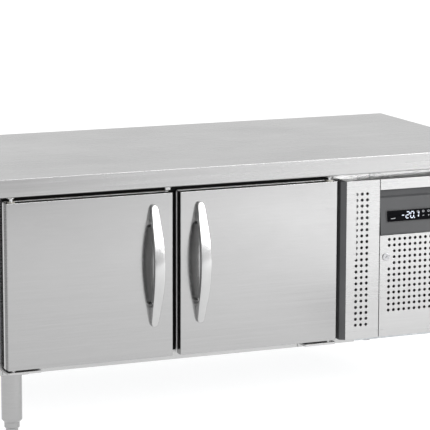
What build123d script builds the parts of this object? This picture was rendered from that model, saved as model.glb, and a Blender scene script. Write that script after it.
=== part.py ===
"""Low two-door refrigerated counter with a side machine bay, as separate sub-parts.

Frame: X to the right seen from the front, Y to the back, Z up, in millimetres. The origin
is on the floor, under the centre of the overall box. Until the export, Y counts from the
middle of the worktop. Each sub-part is written to its own STEP.
"""

from build123d import *
import os

# Overall size
WIDTH = 1360.0
DEPTH = 700.0
HEIGHT = 635.0
SHEET = 1.0

# Worktop
WORKTOP_EDGE = 44.5
WORKTOP_SHEET = 1.5
WORKTOP_HEM = 3.0
WORKTOP_HEM_WIDTH = 16.0
LIP_BOTTOM = HEIGHT - WORKTOP_EDGE
LIP_FRONT = -DEPTH / 2

# Cabinet body, inset under the worktop
BODY_INSET = 10.0
BODY_LEFT = -WIDTH / 2 + BODY_INSET
BODY_RIGHT = WIDTH / 2 - BODY_INSET
BODY_BACK = DEPTH / 2 - BODY_INSET
BODY_BOTTOM = 151.5
BODY_TOP = LIP_BOTTOM - 1.0
FRAME_FRONT = LIP_FRONT + 56.0
FRAME_SHEET = 1.5
FRAME_BACK = FRAME_FRONT + 12.0

# Cold room
WALL = 50.0
ROOM_LEFT = BODY_LEFT + WALL
ROOM_RIGHT = 240.0
ROOM_BACK = BODY_BACK - WALL
ROOM_FLOOR = 206.0
ROOM_CEILING = 546.0
ROOM_COVE = 12.0
COLD_BODY_RIGHT = 285.0
OPENING_RIGHT = 181.0
JAMB_DEPTH = 54.0
MULLION_LEFT = -244.0
MULLION_RIGHT = -194.0
MULLION_DEPTH = 40.0

# Doors
DOOR_WIDTH = 420.0
DOOR_BOTTOM = 171.5
DOOR_TOP = 575.5
DOOR_FRONT = LIP_FRONT + 10.0
DOOR_SKIN_DEPTH = 33.0
DOOR_BACK = DOOR_FRONT + DOOR_SKIN_DEPTH
DOOR_LEFT_EDGE = -649.5
DOOR_RIGHT_EDGE = 211.0
HINGE_INSET_X = 16.0
HINGE_INSET_Y = 14.0
GASKET_WIDTH = 15.0
GASKET_GAP = 0.3
GASKET_FREE_INSET = 3.0
GASKET_HINGE_INSET = HINGE_INSET_X + 0.6
GASKET_TOP_INSET = 4.0
GASKET_BOTTOM_INSET = 5.5

# Bow handles
HANDLE_INSET = 50.0
HANDLE_LENGTH = 300.0
HANDLE_Z = 399.5
HANDLE_END_WIDTH = 16.0
HANDLE_MID_WIDTH = 26.5
HANDLE_END_RISE = 8.0
HANDLE_SHOULDER = 70.0
HANDLE_SHOULDER_RISE = 35.5
HANDLE_MID_RISE = 46.0
HANDLE_THICK = 7.0
GRIP_THICK = 3.0
HANDLE_FOOT = 43.0

# Hinges
PIN_RADIUS = 4.0
BUSH_RADIUS = 7.0
RUNNING_FIT = 0.05
BUSH_LENGTH = 14.0
BRACKET_LENGTH = 84.0
BRACKET_THICK = 5.0
BRACKET_GAP = 5.0
FLANGE_THICK = 3.0
UPPER_ARM_Z = DOOR_TOP + 9.0
UPPER_ARM_THICK = 3.0
UPPER_ARM_RADIUS = 8.0
STOP_WIDTH = 15.0
STOP_INSET = 4.5
STOP_THICK = 1.5
STOP_DROP = 8.5

# Machine bay front
PILASTER_LEFT = 237.5
PILASTER_RIGHT = 329.5
BAY_FRONT_BOTTOM = 169.5
BAY_FRONT_TOP = 572.5
PANEL_LEFT = 331.5
PANEL_RIGHT = 669.0
PANEL_TOP = 429.0
PANEL_RETURN = 15.0
BAND_BOTTOM = 545.5
UPSTAND_TOP = LIP_BOTTOM - 1.0
FASCIA_BOTTOM = 431.0
FASCIA_RIDGE = 523.5
HOLE_RADIUS = 3.9
HOLE_PITCH_X = 14.65
HOLE_PITCH_Z = 15.15
PILASTER_HOLES_X = 265.5
PILASTER_HOLES_TOP = 538.4
PILASTER_COLUMNS = 3
PILASTER_ROWS = 23
PANEL_HOLES_X = 357.6
PANEL_HOLES_TOP = 418.0
PANEL_COLUMNS = 20
PANEL_ROWS = 13
LOCK_X = 349.0
LOCK_Z = 374.0
LOCK_RADIUS = 10.0
LOCK_BODY_RADIUS = 7.5
PANEL_PIN_X = 661.0
PANEL_PIN_Y = -330.0
PANEL_PIN_RADIUS = 3.0
BAY_FLOOR = 168.0
SIDE_FRONT = -311.0
SIDE_BOTTOM = BODY_BOTTOM + 15.0
TRAY_SHEET = 1.5
DISPLAY_X0 = 350.0
DISPLAY_X1 = 512.0
DISPLAY_Z0 = 463.0
DISPLAY_Z1 = 490.5

# Condensing unit: compressor centre, can height, coil, and the pipes' vertical run
COMPRESSOR_X = 480.0
COMPRESSOR_Y = 150.0
COMPRESSOR_MOUNT_HEIGHT = 16.0
CAN_HALF_X = 78.0
CAN_HALF_Y = 60.0
CAN_HEIGHT = 158.0
COIL_HALF_WIDTH = 128.0
COIL_FINS = 32
COIL_FIN_PITCH = 8.0
COIL_TUBES = 8
COIL_TUBE_PITCH = 32.0
RISER_X = 345.0
COIL_END_X = 370.4
COIL_PIPE_Y = -257.0
COPPER_BEND = 14.0
LIQUID_BEND = 12.0

# Rear grille
GRILLE_COLUMNS = 4
GRILLE_ROWS = 14
SLOT_PITCH_X = 86.0
SLOT_PITCH_Z = 18.0
SLOT_WIDTH = 64.0
SLOT_HEIGHT = 6.0
SLOT_INSET_X = 22.0
SLOT_RISE = 110.0
BAFFLE_STANDOFF = 12.0
BAFFLE_SHEET = 0.6
BAFFLE_LAP = 8.0

# Screws
SCREW_RADIUS = 3.6
SCREW_RISE = 1.8
SCREW_SLOT_HALF = 0.4
SCREW_SLOT_FLOOR = 1.1

# Legs and feet
LEG_X = 616.0
LEG_FRONT_Y = -258.0
LEG_BACK_Y = 300.0
LEG_RADIUS = 25.2
LEG_BOTTOM = 27.0
LEG_BORE = 19.2
FOOT_RADIUS = 18.8
FOOT_COLLAR_BOTTOM = 12.0
FOOT_TIP_RADIUS = 15.0
FOOT_STEM_TOP = 62.0

# Fans: centre, blade radius and depth
EVAP_FAN = (212.0, 60.0, 376.0)
EVAP_FAN_RADIUS = 62.0
COND_FAN = (500.0, -216.0, 300.0)
COND_FAN_RADIUS = 92.0

parts = {}


def block(x0, x1, y0, y1, z0, z1):
    """A box between two limits on each axis."""
    middle = ((x0 + x1) / 2, (y0 + y1) / 2, (z0 + z1) / 2)
    return Pos(*middle) * Box(x1 - x0, y1 - y0, z1 - z0)


def rod_x(x0, x1, y, z, radius):
    return Pos((x0 + x1) / 2, y, z) * Rot(0, 90, 0) * Cylinder(radius, x1 - x0)


def rod_y(x, y0, y1, z, radius):
    return Pos(x, (y0 + y1) / 2, z) * Rot(90, 0, 0) * Cylinder(radius, y1 - y0)


def rod_z(x, y, z0, z1, radius):
    return Pos(x, y, (z0 + z1) / 2) * Cylinder(radius, z1 - z0)


def rounded(shape, axis, radius, pick=None):
    """The shape with its edges along an axis rounded, all or those that pick keeps."""
    edges = shape.edges().filter_by(axis)
    if pick is not None:
        edges = edges.filter_by(pick)
    return fillet(edges, radius)


def ring(x0, x1, z0, z1, width, y0, y1, corner=3.0):
    """A flat rectangular ring that lies in the XZ plane."""
    outer = rounded(block(x0, x1, y0, y1, z0, z1), Axis.Y, corner)
    hole = block(x0 + width, x1 - width, y0 - 1, y1 + 1, z0 + width, z1 - width)
    return outer - hole


def keep(name, *shapes):
    """Records a sub-part; several shapes stay separate solids of one node."""
    parts[name] = shapes


# ---------------------------------------------------------------- worktop and cabinet body


def make_worktop():
    half_w, half_d = WIDTH / 2, DEPTH / 2
    outer = block(-half_w, half_w, -half_d, half_d, LIP_BOTTOM, HEIGHT)
    outer = fillet(outer.edges().filter_by(Axis.Z), 4.0)
    outer = fillet(outer.faces().sort_by(Axis.Z)[0].edges(), 4.0)
    outer = fillet(outer.faces().sort_by(Axis.Z)[-1].edges(), 1.8)
    inner_w, inner_d = half_w - WORKTOP_SHEET, half_d - WORKTOP_SHEET
    hollow = block(
        -inner_w, inner_w, -inner_d, inner_d, LIP_BOTTOM + WORKTOP_HEM, HEIGHT - WORKTOP_SHEET
    )
    hollow = fillet(hollow.edges().filter_by(Axis.Z), 2.5)
    mouth_w, mouth_d = half_w - WORKTOP_HEM_WIDTH, half_d - WORKTOP_HEM_WIDTH
    mouth = block(-mouth_w, mouth_w, -mouth_d, mouth_d, LIP_BOTTOM - 1, LIP_BOTTOM + WORKTOP_HEM + 1)
    keep("worktop", outer - hollow - mouth)


def make_outer_panels():
    skin_left = block(BODY_LEFT, BODY_LEFT + SHEET, FRAME_BACK, BODY_BACK, BODY_BOTTOM, BODY_TOP)
    turn_front = block(
        BODY_LEFT, BODY_LEFT + 14, FRAME_BACK, FRAME_BACK + SHEET, BODY_BOTTOM, BODY_TOP
    )
    keep("side_panel_left", skin_left + turn_front)

    right = block(BODY_RIGHT - SHEET, BODY_RIGHT, SIDE_FRONT, BODY_BACK, SIDE_BOTTOM, BODY_TOP)
    right_front = block(
        BODY_RIGHT - 12, BODY_RIGHT, SIDE_FRONT, SIDE_FRONT + SHEET, SIDE_BOTTOM, BODY_TOP
    )
    right_back = block(
        BODY_RIGHT - 16, BODY_RIGHT, BODY_BACK - SHEET, BODY_BACK, SIDE_BOTTOM, BODY_TOP
    )
    keep("side_panel_right", right + right_front + right_back)

    inside_left, inside_back = BODY_LEFT + SHEET, BODY_BACK - SHEET
    back = block(inside_left, COLD_BODY_RIGHT, inside_back, BODY_BACK, BODY_BOTTOM, BODY_TOP)
    keep("back_panel", back)

    front, floor = FRAME_BACK + SHEET, BODY_BOTTOM + SHEET
    base = block(inside_left, COLD_BODY_RIGHT, front, inside_back, BODY_BOTTOM, floor)
    divider = block(COLD_BODY_RIGHT - SHEET, COLD_BODY_RIGHT, front, inside_back, floor, BODY_TOP)
    members = []
    for y in (LEG_FRONT_Y, LEG_BACK_Y):
        member = block(COLD_BODY_RIGHT, BODY_RIGHT - 2, y - 28, y + 28, BODY_BOTTOM, BAY_FLOOR - 0.5)
        members.append(member)
    keep("base_panel", base + divider, *members)


def room_volume():
    """The space inside the liner, with coved corners."""
    room = block(ROOM_LEFT, ROOM_RIGHT, FRAME_FRONT, ROOM_BACK, ROOM_FLOOR, ROOM_CEILING)
    return fillet(room.edges().filter_by(Axis.Y), ROOM_COVE)


def make_insulation():
    left, right = BODY_LEFT + SHEET, COLD_BODY_RIGHT - SHEET
    front, back = FRAME_FRONT + 14, BODY_BACK - SHEET
    low, high = BODY_BOTTOM + SHEET, HEIGHT - WORKTOP_SHEET
    liner = SHEET
    room = (ROOM_LEFT - liner, ROOM_RIGHT + liner, ROOM_FLOOR - liner, ROOM_CEILING + liner)
    base = block(left, right, front, back, low, room[2])
    top_low = block(left, right, front, back, room[3], LIP_BOTTOM - 1)
    hem = BODY_INSET - WORKTOP_HEM_WIDTH - 0.5
    top_high = block(BODY_LEFT - hem, right, front, BODY_BACK + hem, LIP_BOTTOM - 1, high)
    wall_left = block(left, room[0], front, back, room[2], room[3])
    wall_right = block(room[1], right, front, back, room[2], room[3])
    wall_back = block(room[0], room[1], ROOM_BACK + liner, back, room[2], room[3])
    jamb_back = FRAME_FRONT + JAMB_DEPTH - liner
    jamb = block(OPENING_RIGHT + liner, room[1] - liner, front, jamb_back, ROOM_FLOOR, ROOM_CEILING)
    jamb &= room_volume()
    keep("insulation", base, top_low + top_high, wall_left, wall_right, wall_back, jamb)


def make_liner():
    """The room's inner skin, a folded box with coved corners, open at the front."""
    front = FRAME_FRONT + 14
    outer = block(
        ROOM_LEFT - SHEET, ROOM_RIGHT + SHEET, front, ROOM_BACK + SHEET,
        ROOM_FLOOR - SHEET, ROOM_CEILING + SHEET,
    )
    outer = fillet(outer.edges().filter_by(Axis.Y), ROOM_COVE + SHEET)
    keep("inner_liner", outer - room_volume())


def make_front_frame():
    """The stainless face of the cold body, with its folded returns, and the mullion."""
    left, right = BODY_LEFT, COLD_BODY_RIGHT
    face = block(left, right, FRAME_FRONT, FRAME_FRONT + FRAME_SHEET, BODY_BOTTOM, BODY_TOP)
    window = block(
        ROOM_LEFT, OPENING_RIGHT, FRAME_FRONT - 1, FRAME_FRONT + 20, ROOM_FLOOR, ROOM_CEILING
    )
    returns = block(left, right, FRAME_FRONT, FRAME_BACK, BODY_BOTTOM, BODY_TOP)
    returns -= block(
        left + SHEET, right - SHEET, FRAME_FRONT - 1, FRAME_BACK + 1,
        BODY_BOTTOM + SHEET, BODY_TOP - SHEET,
    )
    lining = block(
        ROOM_LEFT - SHEET, OPENING_RIGHT + SHEET, FRAME_FRONT, FRAME_FRONT + 13.5,
        ROOM_FLOOR - SHEET, ROOM_CEILING + SHEET,
    )
    frame = face + returns + lining - window
    jamb_y = FRAME_FRONT + JAMB_DEPTH
    jamb_side = block(
        OPENING_RIGHT, OPENING_RIGHT + SHEET, FRAME_FRONT, jamb_y, ROOM_FLOOR, ROOM_CEILING
    )
    jamb_back = block(OPENING_RIGHT, ROOM_RIGHT, jamb_y - SHEET, jamb_y, ROOM_FLOOR, ROOM_CEILING)
    jamb = (jamb_side + jamb_back) & room_volume()
    keep("front_frame", frame + jamb)

    mullion = block(
        MULLION_LEFT, MULLION_RIGHT, FRAME_FRONT, FRAME_FRONT + MULLION_DEPTH, ROOM_FLOOR, ROOM_CEILING
    )
    keep("centre_mullion", rounded(mullion, Axis.Z, 2.0))


def make_frame_trim():
    """Black plastic breaker strip around both doors, seen in the gaps beside them."""
    front, back = FRAME_FRONT - 6.0, FRAME_FRONT
    low, high = DOOR_BOTTOM + GASKET_BOTTOM_INSET, DOOR_TOP + 8.5
    left, right = DOOR_LEFT_EDGE + 1.5, DOOR_RIGHT_EDGE - 1.5
    strip = block(left, right, front, back, low, high)
    seal_top = DOOR_TOP - GASKET_TOP_INSET + 1.0
    bays = (
        (DOOR_LEFT_EDGE + GASKET_HINGE_INSET - 1.2, DOOR_LEFT_EDGE + DOOR_WIDTH - GASKET_FREE_INSET + 1.2),
        (DOOR_RIGHT_EDGE - DOOR_WIDTH + GASKET_FREE_INSET - 1.2, DOOR_RIGHT_EDGE - GASKET_HINGE_INSET + 1.2),
    )
    for bay_left, bay_right in bays:
        strip -= block(bay_left, bay_right, front - 1, back + 1, low - 1, seal_top)
    keep("frame_trim", strip)


# ---------------------------------------------------------------- doors


def leaf_half_width(s):
    """Half the handle's width at a height s from its middle: widest there, narrow at the ends."""
    share = abs(s) / (HANDLE_LENGTH / 2)
    return (HANDLE_MID_WIDTH - (HANDLE_MID_WIDTH - HANDLE_END_WIDTH) * share**1.8) / 2


def bow_profile(rise_cut, foot):
    """Outline of the bow seen from the side, in (out of the door, height) coordinates."""
    half = HANDLE_LENGTH / 2
    mid, shoulder, end = HANDLE_MID_RISE - rise_cut, HANDLE_SHOULDER_RISE - rise_cut, HANDLE_END_RISE
    if foot:
        arc = ThreePointArc((shoulder, HANDLE_SHOULDER), (mid, 0), (shoulder, -HANDLE_SHOULDER))
        top = Line((end, half), (shoulder, HANDLE_SHOULDER))
        bottom = Line((shoulder, -HANDLE_SHOULDER), (end, -half))
        outline = [Line((0, half), (end, half)), top, arc, bottom, Line((end, -half), (0, -half))]
        return make_face(Wire(outline + [Line((0, -half), (0, half))]))
    reach = half - HANDLE_FOOT
    arc = ThreePointArc((shoulder, HANDLE_SHOULDER), (mid, 0), (shoulder, -HANDLE_SHOULDER))
    tip = 10.0
    curve = [
        Line((-5, reach), (tip, reach)),
        Line((tip, reach), (shoulder, HANDLE_SHOULDER)),
        arc,
        Line((shoulder, -HANDLE_SHOULDER), (tip, -reach)),
        Line((tip, -reach), (-5, -reach)),
        Line((-5, -reach), (-5, reach)),
    ]
    return make_face(Wire(curve))


def bow_solid(profile, x):
    """The side outline pulled across the handle's width at the door's front face."""
    plane = Plane(origin=(x, DOOR_FRONT, HANDLE_Z), x_dir=(0, -1, 0), z_dir=(-1, 0, 0))
    return extrude(plane * profile, HANDLE_MID_WIDTH, both=True)


def leaf_solid(x, trim=0.0):
    """Leaf-shaped front outline of a handle, as a prism that stands out of the door."""
    half = HANDLE_LENGTH / 2 - trim
    stations = [half * share for share in (0.94, 0.7, 0.4, 0.0, -0.4, -0.7, -0.94)]
    right = [(leaf_half_width(s) - trim, s) for s in stations]
    left = [(-w, s) for w, s in reversed(right)]
    edges = [
        Spline(right),
        ThreePointArc(right[-1], (0, -half), left[0]),
        Spline(left),
        ThreePointArc(left[-1], (0, half), right[0]),
    ]
    plane = Plane(origin=(x, DOOR_FRONT, HANDLE_Z), x_dir=(1, 0, 0), z_dir=(0, -1, 0))
    return extrude(plane * make_face(Wire(edges)), HANDLE_MID_RISE + 5)


def make_handle(side, x):
    solid = bow_solid(bow_profile(0, True), x) & leaf_solid(x)
    gap = bow_solid(bow_profile(HANDLE_THICK + GRIP_THICK, False), x)
    gap = fillet(gap.edges().filter_by(Axis.X), 3.0)
    bow = solid - gap
    liner_bed = bow_solid(bow_profile(HANDLE_THICK, False), x) & leaf_solid(x, 2.0)
    grip = (liner_bed & solid) - gap
    grip &= block(x - 20, x + 20, DOOR_FRONT - 60, DOOR_FRONT - 12, HANDLE_Z - 96, HANDLE_Z + 96)
    keep(f"door_{side}_handle", bow - grip)
    keep(f"door_{side}_grip", grip)


def make_door(side, left_edge, hinge_on_left):
    right_edge = left_edge + DOOR_WIDTH
    shell = block(left_edge, right_edge, DOOR_FRONT, DOOR_BACK, DOOR_BOTTOM, DOOR_TOP)
    shell = rounded(shell, Axis.Y, 1.2)
    shell = fillet(shell.faces().sort_by(Axis.Y)[0].edges(), 1.4)
    in_left, in_right = left_edge + SHEET, right_edge - SHEET
    in_front, in_low, in_high = DOOR_FRONT + SHEET, DOOR_BOTTOM + SHEET, DOOR_TOP - SHEET
    room = block(in_left, in_right, in_front, DOOR_BACK + 1, in_low, in_high)
    axis_x = left_edge + HINGE_INSET_X if hinge_on_left else right_edge - HINGE_INSET_X
    axis_y = DOOR_FRONT + HINGE_INSET_Y
    pocket = rod_z(axis_x, axis_y, DOOR_BOTTOM - 1, DOOR_TOP + 1, BUSH_RADIUS)
    keep(f"door_{side}_skin", shell - room - pocket)

    bushes = []
    for z0, z1, flange in (
        (DOOR_BOTTOM, DOOR_BOTTOM + BUSH_LENGTH, DOOR_BOTTOM - 1.5),
        (DOOR_TOP - BUSH_LENGTH, DOOR_TOP, DOOR_TOP),
    ):
        bush = rod_z(axis_x, axis_y, z0, z1, BUSH_RADIUS)
        bush += rod_z(axis_x, axis_y, flange, flange + 1.5, 9.0)
        bushes.append(bush - rod_z(axis_x, axis_y, z0 - 5, z1 + 5, PIN_RADIUS + RUNNING_FIT))
    keep(f"door_{side}_bushes", *bushes)

    core_back = DOOR_BACK - 2.0
    core = block(in_left, in_right, in_front, core_back, in_low, in_high)
    seat = BUSH_LENGTH + 4
    for z0, z1 in ((DOOR_BOTTOM, DOOR_BOTTOM + seat), (DOOR_TOP - seat, DOOR_TOP)):
        core -= rod_z(axis_x, axis_y, z0, z1, BUSH_RADIUS)
    keep(f"door_{side}_core", core)

    hinge_side, free_side = GASKET_HINGE_INSET, GASKET_FREE_INSET
    seal_left = left_edge + (hinge_side if hinge_on_left else free_side)
    seal_right = right_edge - (free_side if hinge_on_left else hinge_side)
    seal_low, seal_high = DOOR_BOTTOM + GASKET_BOTTOM_INSET, DOOR_TOP - GASKET_TOP_INSET
    inner = block(in_left, in_right, core_back, DOOR_BACK - 0.5, in_low, in_high)
    pan_x0, pan_x1 = seal_left + GASKET_WIDTH + 4, seal_right - GASKET_WIDTH - 4
    pan_x0 = max(pan_x0, ROOM_LEFT + 10 if hinge_on_left else MULLION_RIGHT + 10)
    pan_x1 = min(pan_x1, MULLION_LEFT - 10 if hinge_on_left else OPENING_RIGHT - 10)
    pan = block(pan_x0, pan_x1, DOOR_BACK - 0.5, FRAME_FRONT - 2, ROOM_FLOOR + 8, ROOM_CEILING - 8)
    pan = rounded(pan, Axis.Y, 14.0)
    pan = fillet(pan.faces().sort_by(Axis.Y)[-1].edges(), 4.0)
    keep(f"door_{side}_inner_panel", inner + pan)

    y0, y1 = DOOR_BACK - 0.5, FRAME_FRONT - GASKET_GAP
    base = ring(seal_left, seal_right, seal_low, seal_high, GASKET_WIDTH, y0, y0 + 4)
    bellows = ring(
        seal_left + 2, seal_right - 2, seal_low + 2, seal_high - 2, GASKET_WIDTH - 4, y0 + 4, y1 - 4
    )
    magnet = ring(seal_left, seal_right, seal_low, seal_high, GASKET_WIDTH, y1 - 4, y1)
    keep(f"door_{side}_gasket", base + bellows + magnet)

    handle_x = right_edge - HANDLE_INSET if hinge_on_left else left_edge + HANDLE_INSET
    make_handle(side, handle_x)
    return axis_x, axis_y


def lower_bracket(axis_x, axis_y, inward):
    """A plate under the door's corner, with a flange screwed to the cabinet's face."""
    x_near = axis_x - inward * HINGE_INSET_X
    x_far = x_near + inward * BRACKET_LENGTH
    x0, x1 = min(x_near, x_far), max(x_near, x_far)
    z1 = DOOR_BOTTOM - BRACKET_GAP
    z0 = z1 - BRACKET_THICK
    plate = rounded(block(x0, x1, DOOR_FRONT + 2, FRAME_FRONT, z0, z1), Axis.Z, 4.0)
    flange = block(x0, x1, FRAME_FRONT - FLANGE_THICK, FRAME_FRONT, BODY_BOTTOM + 1, z1)
    return plate + flange - rod_z(axis_x, axis_y, z0 - 1, z1 + 1, PIN_RADIUS)


def upper_bracket(axis_x, axis_y):
    """A short arm over the door's corner, with a round end about the pin and a flange behind."""
    z0, z1 = UPPER_ARM_Z, UPPER_ARM_Z + UPPER_ARM_THICK
    arm = rod_z(axis_x, axis_y, z0, z1, UPPER_ARM_RADIUS)
    arm += block(axis_x - UPPER_ARM_RADIUS, axis_x + UPPER_ARM_RADIUS, axis_y, FRAME_FRONT, z0, z1)
    flange = block(
        axis_x - 1.5 * UPPER_ARM_RADIUS, axis_x + 1.5 * UPPER_ARM_RADIUS,
        FRAME_FRONT - FLANGE_THICK, FRAME_FRONT, z0, LIP_BOTTOM - 2,
    )
    return arm + flange - rod_z(axis_x, axis_y, z0 - 1, z1 + 1, PIN_RADIUS)


def door_stop():
    """A small stop screwed under the worktop's hem, over the free end of the left door."""
    x1 = DOOR_LEFT_EDGE + DOOR_WIDTH - STOP_INSET
    x0 = x1 - STOP_WIDTH
    plate_z = LIP_BOTTOM - STOP_THICK
    plate = block(x0, x1, LIP_FRONT + 8, LIP_FRONT + 26, plate_z, LIP_BOTTOM)
    nose = block(x0 + 4, x1, LIP_FRONT + 14, LIP_FRONT + 16, LIP_BOTTOM - STOP_DROP, plate_z)
    button = rod_z(x0 + 4, LIP_FRONT + 15, LIP_BOTTOM - STOP_DROP, plate_z, 3.0)
    return plate + nose + button


def make_hinges(hinge_axes):
    brackets, pins = [], []
    low_z0 = DOOR_BOTTOM - BRACKET_GAP - BRACKET_THICK
    high_z1 = UPPER_ARM_Z + UPPER_ARM_THICK
    for (axis_x, axis_y), inward in zip(hinge_axes, (1, -1)):
        brackets.append(lower_bracket(axis_x, axis_y, inward))
        brackets.append(upper_bracket(axis_x, axis_y))
        pins.append(rod_z(axis_x, axis_y, low_z0, DOOR_BOTTOM + BUSH_LENGTH - 2, PIN_RADIUS))
        pins.append(rod_z(axis_x, axis_y, DOOR_TOP - BUSH_LENGTH + 2, high_z1, PIN_RADIUS))
    brackets.append(door_stop())
    keep("hinge_brackets", *brackets)
    panel_pins = [
        rod_z(PANEL_PIN_X, PANEL_PIN_Y, PANEL_TOP - 8, FASCIA_BOTTOM + 12, PANEL_PIN_RADIUS),
        rod_z(PANEL_PIN_X, PANEL_PIN_Y, BAY_FRONT_BOTTOM - 4, BAY_FRONT_BOTTOM + 8, PANEL_PIN_RADIUS),
    ]
    keep("hinge_pins", *pins, *panel_pins)


# ---------------------------------------------------------------- shelves and evaporator


def make_shelf(name, x0, x1, y0, y1, z):
    """A coated wire shelf: a rim of rod, cross bars and fore-and-aft wires."""
    rim, bar, wire = 3.0, 2.5, 1.8
    rods = [rod_x(x0, x1, y, z, rim) for y in (y0, y1)]
    rods += [rod_y(x, y0, y1, z, rim) for x in (x0, x1)]
    rods += [Pos(x, y, z) * Sphere(rim) for x in (x0, x1) for y in (y0, y1)]
    rods += [rod_x(x0, x1, y0 + (y1 - y0) * share, z - 2.0, bar) for share in (0.33, 0.67)]
    count = 15
    for i in range(1, count):
        rods.append(rod_y(x0 + (x1 - x0) * i / count, y0, y1, z + 1.0, wire))
    shelf = rods[0].fuse(*rods[1:])
    keep(name, shelf)


def make_shelving():
    shelf_z = 372.0
    posts, runners = [], []
    bays = ((ROOM_LEFT, MULLION_LEFT), (MULLION_RIGHT, OPENING_RIGHT - 4))
    y_front, y_back = FRAME_FRONT + 62, ROOM_BACK - 40
    for number, (left, right) in enumerate(bays):
        for x, turn in ((left + 1, 1), (right - 1, -1)):
            for y in (y_front, y_back):
                on_wall = x < ROOM_LEFT + 2
                low = ROOM_FLOOR + (ROOM_COVE + 1 if on_wall else 0.2)
                high = ROOM_CEILING - (ROOM_COVE + 1 if on_wall else 0.2)
                post = block(min(x, x + turn * 12), max(x, x + turn * 12), y - 10, y + 10, low, high)
                channel_x = x + turn * 7
                post -= block(channel_x - 5.5, channel_x + 5.5, y - 8.5, y + 8.5, low - 1, high + 1)
                posts.append(post)
            rail_x = x + turn * 12
            rail = block(
                min(rail_x, rail_x + turn * 14), max(rail_x, rail_x + turn * 14),
                y_front - 20, y_back + 20, shelf_z - 7.5, shelf_z - 6,
            )
            web = block(
                min(rail_x, rail_x + turn * 1.5), max(rail_x, rail_x + turn * 1.5),
                y_front - 20, y_back + 20, shelf_z - 7.5, shelf_z + 10,
            )
            runners.append(rail + web)
        name = ("wire_shelf_left", "wire_shelf_right")[number]
        make_shelf(name, left + 19, right - 19, y_front - 18, y_back + 18, shelf_z - 1.4)
    keep("shelf_posts", *posts)
    keep("shelf_runners", *runners)


def fan_blades(radius, hub, depth, count, pitch):
    """An axial fan with its axis along Y, centred on the origin: a hub and tilted blades."""
    fan = rod_y(0, -depth / 2, depth / 2, 0, hub)
    for i in range(count):
        blade = Box(radius - hub + 3, 1.6, radius * 0.62)
        blade = rounded(blade, Axis.Y, radius * 0.12)
        blade = Pos((radius + hub - 3) / 2, 0, 0) * Rot(pitch, 0, 0) * blade
        fan += Rot(0, 360 / count * i, 0) * blade
    rim_limit = rod_y(0, -depth, depth, 0, radius)
    return (fan & rim_limit) - rod_y(0, -depth, depth, 0, 2.0 + RUNNING_FIT)


def make_evaporator():
    """Coil, fan and cover along the right wall of the room, behind the jamb."""
    x0, x1 = 186.0, ROOM_RIGHT
    y0, y1 = -180.0, ROOM_BACK - 30
    z0, z1 = 232.0, 520.0
    fan_x, fan_y, fan_z = EVAP_FAN
    cover = block(x0, x1 - 0.5, y0, y1, z0, z1)
    cover = rounded(cover, Axis.Y, 6.0, lambda e: e.center().X < x0 + 1)
    cover -= block(x0 + 1.5, x1 + 1, y0 + 1.5, y1 - 1.5, z0 + 1.5, z1 - 1.5)
    cover -= rod_x(x0 - 1, x0 + 3, fan_y, fan_z, EVAP_FAN_RADIUS + 4)
    guard = []
    for radius in (18, 34, 50):
        hoop = rod_x(x0, x0 + 1.5, fan_y, fan_z, radius + 1.2)
        guard.append(hoop - rod_x(x0 - 1, x0 + 3, fan_y, fan_z, radius - 1.2))
    spokes = [
        Pos(x0 + 0.75, fan_y, fan_z) * Rot(angle, 0, 0) * Box(1.5, 2.4, 2 * EVAP_FAN_RADIUS + 10)
        for angle in (0, 60, 120)
    ]
    for piece in guard + spokes:
        cover += piece
    for i in range(9):
        slot_z = z0 + 24 + i * 26
        cover -= block(x0 - 1, x0 + 3, y0 + 16, y0 + 96, slot_z, slot_z + 8)
    keep("evaporator_cover", cover)

    fin_y0, fin_y1 = y0 + 14, y0 + 104
    fin_x0, fin_x1 = x0 + 8, x1 - 8
    fin_low, fin_pitch, fin_sheet, fin_count = z0 + 16, 10, 0.6, 26
    fins = []
    for i in range(fin_count):
        z = fin_low + i * fin_pitch
        fins.append(block(fin_x0, fin_x1, fin_y0, fin_y1, z, z + fin_sheet))
    tubes = []
    for x in (fin_x0 + 10, fin_x1 - 10):
        for i in range(4):
            y = fin_y0 + 12 + i * 22
            tubes.append(rod_z(x, y, z0 + 8, z1 - 8, 4.0))
    coil = fins[0].fuse(*fins[1:], *tubes)
    keep("evaporator_coil", coil)

    tray = block(fin_x0 - 4, x1 - 2, y0 + 4, fin_y1 + 12, z0 + 1.6, z0 + 7)
    tray -= block(fin_x0 - 3, x1 - 3, y0 + 5, fin_y1 + 11, z0 + 2.6, z0 + 8)
    keep("drip_tray", tray)

    motor = rod_x(fan_x + 9, x1 - 1, fan_y, fan_z, 26) + rod_x(fan_x - 9, fan_x + 9, fan_y, fan_z, 2.0)
    motor += block(x1 - 4, x1 - 1, fan_y - 44, fan_y + 44, fan_z - 8, fan_z + 8)
    keep("evaporator_fan_motor", motor)
    blades = fan_blades(EVAP_FAN_RADIUS - 2, 15, 12, 5, 24)
    keep("evaporator_fan", Pos(fan_x - 3, fan_y, fan_z) * Rot(0, 0, 90) * blades)


# ---------------------------------------------------------------- machine bay


def hole_grid(x, z_top, columns, rows, y0, y1, skip=()):
    """Round punches in rows and columns, along Y."""
    punches = []
    for column in range(columns):
        for row in range(rows):
            if (column, row) in skip:
                continue
            hole_x, hole_z = x + column * HOLE_PITCH_X, z_top - row * HOLE_PITCH_Z
            punches.append(rod_y(hole_x, y0, y1, hole_z, HOLE_RADIUS))
    return punches


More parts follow.
